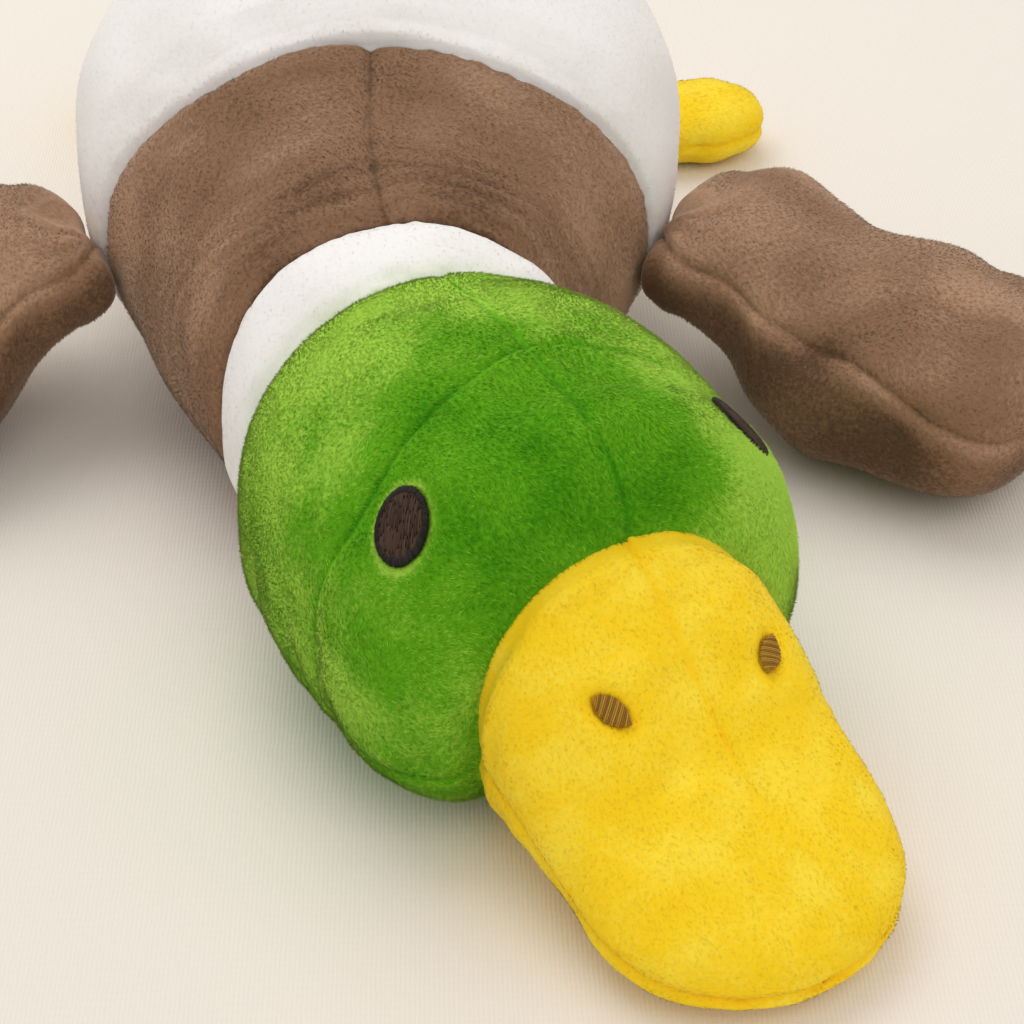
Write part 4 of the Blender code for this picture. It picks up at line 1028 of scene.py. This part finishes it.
def from_path(form, shares, angles):
    """Distance of each grid point from a smooth line through places of the form, in metres."""
    knots = np.linspace(0, 1, len(shares))
    fine = np.linspace(0, 1, 90)
    share, angle = smooth(knots, shares, fine), np.radians(smooth(knots, angles, fine))
    rows = np.interp(share, form.share[:, 0], np.arange(len(form.share)))
    columns = form.share.shape[1]
    turns = np.round(angle / (2 * math.pi) * columns).astype(int) % columns
    line = form.plain[np.round(rows).astype(int), turns]
    return np.sqrt(((form.plain[:, :, None] - line) ** 2).sum(-1).min(-1))


# The room that a wing keeps as it is lifted, and how far round its hinge the torso is looked at.
LIFT_ROOM, ROOT_REACH, NEAR_TORSO = 0.0010, 0.075, 0.02
torso_points = np.concatenate([form.points.reshape(-1, 3) for form in (body, chest)])
torso_normals = np.concatenate([normals_of(form.points).reshape(-1, 3) for form in (body, chest)])


def clearance(points, joint):
    """Least distance of each point from the torso while a joint turns from its one limit to the other.
    The points are turned about its axis in nine steps, and a distance is the one along the normal of
    the nearest torso point, where that is less than NEAR_TORSO away."""
    pivot, axis = np.array(joint["pos_m"]), np.array(joint["axis"])
    near = np.linalg.norm(torso_points - pivot, axis=-1) < ROOT_REACH
    around, outwards = torso_points[near][::4], torso_normals[near][::4]
    away = points.reshape(-1, 3) - pivot
    least = np.ones(len(away))
    for turn in np.radians(np.linspace(*joint["range_deg"], 9)):
        along_axis = np.outer(away @ axis, axis) * (1 - math.cos(turn))
        turned = away * math.cos(turn) + np.cross(axis, away) * math.sin(turn) + along_axis + pivot
        square = (turned ** 2).sum(-1)[:, None] - 2 * turned @ around.T + (around ** 2).sum(-1)
        nearest = square.argmin(axis=1)
        apart = ((turned - around[nearest]) * outwards[nearest]).sum(-1)
        least = np.minimum(least, np.where(square.min(axis=1) < NEAR_TORSO ** 2, apart, 1))
    return least.reshape(points.shape[:-1])


for side, sign in (("left", 1), ("right", -1)):
    outward = np.array([sign * math.cos(WING_SWEEP), -math.sin(WING_SWEEP), 0.0])
    table_shares = [(0.00, 0.00, 0.00, 0.00), (0.12, 0.90, 0.76, 0.03 * sign),
                    (0.26, 0.97, 0.91, -0.03 * sign), (0.45, 1.00, 1.00, -0.07 * sign),
                    (0.60, 1.00, 1.00, -0.09 * sign), (0.74, 0.96, 0.94, -0.14 * sign)]
    seat = HINGES["wing_%s_lift" % side]
    sizes = (WING_LENGTH, WING_WIDTH, WING_THICKNESS, WING_ROOT_RADIUS, WING_ROOT_WIDTH)
    wing_surface = paddle_surface(seat, outward, sizes, table_shares, 0.45, WING_THICKNESS / 2 - PRESS)
    wing = Form(wing_surface, np.linspace(0.004, 0.996, 130), 220)
    ahead = wing.angle if sign > 0 else (math.pi - wing.angle) % (2 * math.pi)
    front_seam = np.radians(smooth([0, 0.08, 0.16, 0.28, 0.38, 0.45, 0.52, 0.6, 0.72, 0.85, 1],
                                   [118, 122, 131, 149, 147, 142, 142, 150, 162, 175, 180], wing.share))
    front_line, back_seam = front_seam, np.zeros_like(front_seam)
    if sign < 0:
        front_seam, back_seam = math.pi - front_seam, back_seam + math.pi
    wing.seam(wing.from_angle(front_seam), 0.0016, 0.006)
    wing.seam(wing.from_angle(back_seam), 0.0016, 0.006)
    by_root = 1 - ease(wing.share, 0.24, 0.42)
    wing.settle(0.005, 0.0013, 1 - by_root)
    # One long crease arcs over the outer half; painted shade darkens the crease and the padding in front of
    # it.
    creases = ([0.50, 0.54, 0.59, 0.66, 0.75, 0.83, 0.90, 0.94], [146, 124, 111, 103, 102, 108, 124, 150])
    angles = creases[1] if sign > 0 else [180 - angle for angle in creases[1]]
    crease = from_path(wing, creases[0], angles)
    wing.relief -= 0.0022 * np.exp(-((crease / 0.005) ** 2))
    wing.tone_and_painted_light -= 0.20 * np.exp(-((crease / 0.004) ** 2))
    arc = np.radians(smooth(*creases, np.clip(wing.share, 0.50, 0.94)))
    wing.tone_and_painted_light -= (0.20 * ease(ahead - arc, 0, 0.2) * (ahead < front_line) * ease(wing.share, 0.50, 0.56)
                 * ease(-wing.share, -0.96, -0.86))
    # Folds run out from the pinched front corner of the root.
    row, column = np.abs(wing.share[:, 0] - 0.12).argmin(), np.abs(ahead[0] - math.radians(122)).argmin()
    pinch = wing.plain[row, column]
    away = wing.plain - pinch
    distance = np.linalg.norm(away, axis=-1)
    fan = np.arctan2(away @ outward, away @ np.cross(UP, outward) * sign)
    folds = np.cos(8 * fan + 2 * ripples(wing.plain, 0.03, 90)) * np.exp(-distance / 0.018)
    folds = folds * ease(distance, 0.001, 0.012)
    wing.relief += 0.0008 * folds - 0.0018 * np.exp(-((distance / 0.007) ** 2))
    wing.relief += 0.0010 * ripples(wing.plain, 0.04, 91) * (1 - by_root)
    # Painted light and shade: lighter on the folds' ridges and darker in their hollows, and lighter towards
    # the wing's end.
    wing.tone_and_painted_light += 0.56 + 0.12 * ripples(wing.plain, 0.03, 92) + 0.10 * folds + 0.12 * ease(wing.share, 0.5, 0.9)
    # Painted shade: darker on the front face just below the front seam.
    below = (ahead - front_line) % (2 * math.pi)
    wing.tone_and_painted_light -= 0.44 * ease(below * wing.per_angle, 0, 0.010) * (1 - ease(below, 1.2, 3.0))
    # Where a lifted wing would meet the body, its root is sewn a little deeper and its pile is bare.
    rooted = wing.share[:, 0] < 0.5
    joint = next(joint for joint in frame["joints"] if joint["name"] == "wing_%s_lift" % side)
    room = np.ones(wing.share.shape)
    room[rooted] = clearance((wing.plain + wing.normal * wing.relief[..., None])[rooted], joint)
    room = (np.roll(room, 1, 1) + room + np.roll(room, -1, 1)) / 3
    wing.relief -= np.clip(LIFT_ROOM - room, 0, 0.005)
    wing.comb += 0.3 + 0.8 * ripples(wing.plain, 0.035, 93)
    wing.finish()
    wing_skin = skin("wing_%s_skin" % side, wing, brown_plush, "wing_" + side)
    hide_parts(*("wing_%s_%s" % (side, part) for part in ("upper", "lower", "stuffing")))
    covered = (wing.points[..., 2] > 0.003) & (room > 1.6 * LIFT_ROOM)
    pile("wing_%s_pile" % side, wing, np.where(covered, 1.5, 0.0) * ease(wing.share, 0.12, 0.2),
         0.0015, 0.00042, brown_plush, "wing_" + side, 94)


# ---------------------------------------------------------------- Yellow feet
# Two small padded pads of the bill's yellow plush, each of an upper and a lower panel sewn all round,
# and sewn to the body's sides behind. The left one sticks out, the right one is tucked back.
FOOT_LENGTH, FOOT_WIDTH, FOOT_THICKNESS = 0.062, 0.044, 0.025
FOOT_ROOT_RADIUS, FOOT_ROOT_WIDTH = 0.0045, 0.018
FOOT_SWEEPS = {"left": math.radians(-8), "right": math.radians(-62)}
for side, sign in (("left", 1), ("right", -1)):
    sweep = FOOT_SWEEPS[side]
    outward = np.array([sign * math.cos(sweep), -math.sin(sweep), 0.0])
    table_shares = [(0, 0, 0, 0), (0.15, 0.66, 0.60, 0), (0.35, 0.90, 0.92, 0), (0.60, 1, 1, 0)]
    seat = HINGES["foot_%s_lift" % side]
    sizes = (FOOT_LENGTH, FOOT_WIDTH, FOOT_THICKNESS, FOOT_ROOT_RADIUS, FOOT_ROOT_WIDTH)
    foot_surface = paddle_surface(seat, outward, sizes, table_shares, 0.40, FOOT_THICKNESS / 2 - PRESS)
    foot = Form(foot_surface, np.linspace(0.004, 0.996, 80), 130)
    for line in (0.0, math.pi):
        foot.seam(foot.from_angle(line), 0.0013, 0.0045)
    foot.settle(0.003, 0.0008)
    foot.relief += 0.0006 * ripples(foot.plain, 0.02, 95) * ease(foot.share, 0.1, 0.3)
    foot.tone_and_painted_light += 0.55 + 0.12 * ripples(foot.plain, 0.015, 96)
    foot.comb += 0.7 * ripples(foot.plain, 0.02, 97)
    foot.finish()
    foot_skin = skin("foot_%s_skin" % side, foot, yellow_plush, "foot_" + side)
    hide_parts(*("foot_%s_%s" % (side, part) for part in ("upper", "lower", "stuffing")))
    cover = np.where(foot.points[..., 2] > 0.002, 1.6, 0.0) * ease(foot.share, 0.15, 0.25)
    pile("foot_%s_pile" % side, foot, cover, 0.0015, 0.00040, yellow_plush, "foot_" + side,
         98, 1.42)


# ---------------------------------------------------------------- White tail
# A short padded tail of two white panels, sewn into the rump and turned up a little.
TAIL_LENGTH, TAIL_INSET, TAIL_WIDTH, TAIL_THICKNESS = 0.040, 0.016, 0.062, 0.026
seat = on_spine(TAIL_INSET - BODY_LENGTH, 0, MIDDLE_SHARE * BODY_HEIGHT) + FRAME_SHIFT
sizes = (TAIL_LENGTH, TAIL_WIDTH, TAIL_THICKNESS, TAIL_THICKNESS / 2, TAIL_WIDTH)
table_shares = [(0, 0, 0, 0), (0.30, 1, 1, 0), (0.55, 0.92, 0.85, 0)]
tail_surface = paddle_surface(seat, np.array([0.0, 1.0, 0.0]), sizes, table_shares, 1.0,
                              seat[2] + TAIL_THICKNESS / 2)
tail = Form(tail_surface, np.linspace(0.004, 0.996, 70), 130)
for line in (0.0, math.pi):
    tail.seam(tail.from_angle(line), 0.0013, 0.0045)
tail.settle(0.0035, 0.0006)
tail.tone_and_painted_light += 0.6 + 0.12 * ripples(tail.plain, 0.02, 99)
tail.comb += 0.5 * ripples(tail.plain, 0.02, 100)
tail.finish()
tail_skin = skin("tail_skin", tail, white_plush, "torso")
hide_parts("tail_upper", "tail_lower", "tail_stuffing")
pile("tail_pile", tail, np.where(tail.share > 0.45, 1.0, 0.0), 0.0018, 0.00050, white_plush, "torso",
     101)


# ---------------------------------------------------------------- Finish
bpy.context.scene.view_settings.view_transform = "Standard"
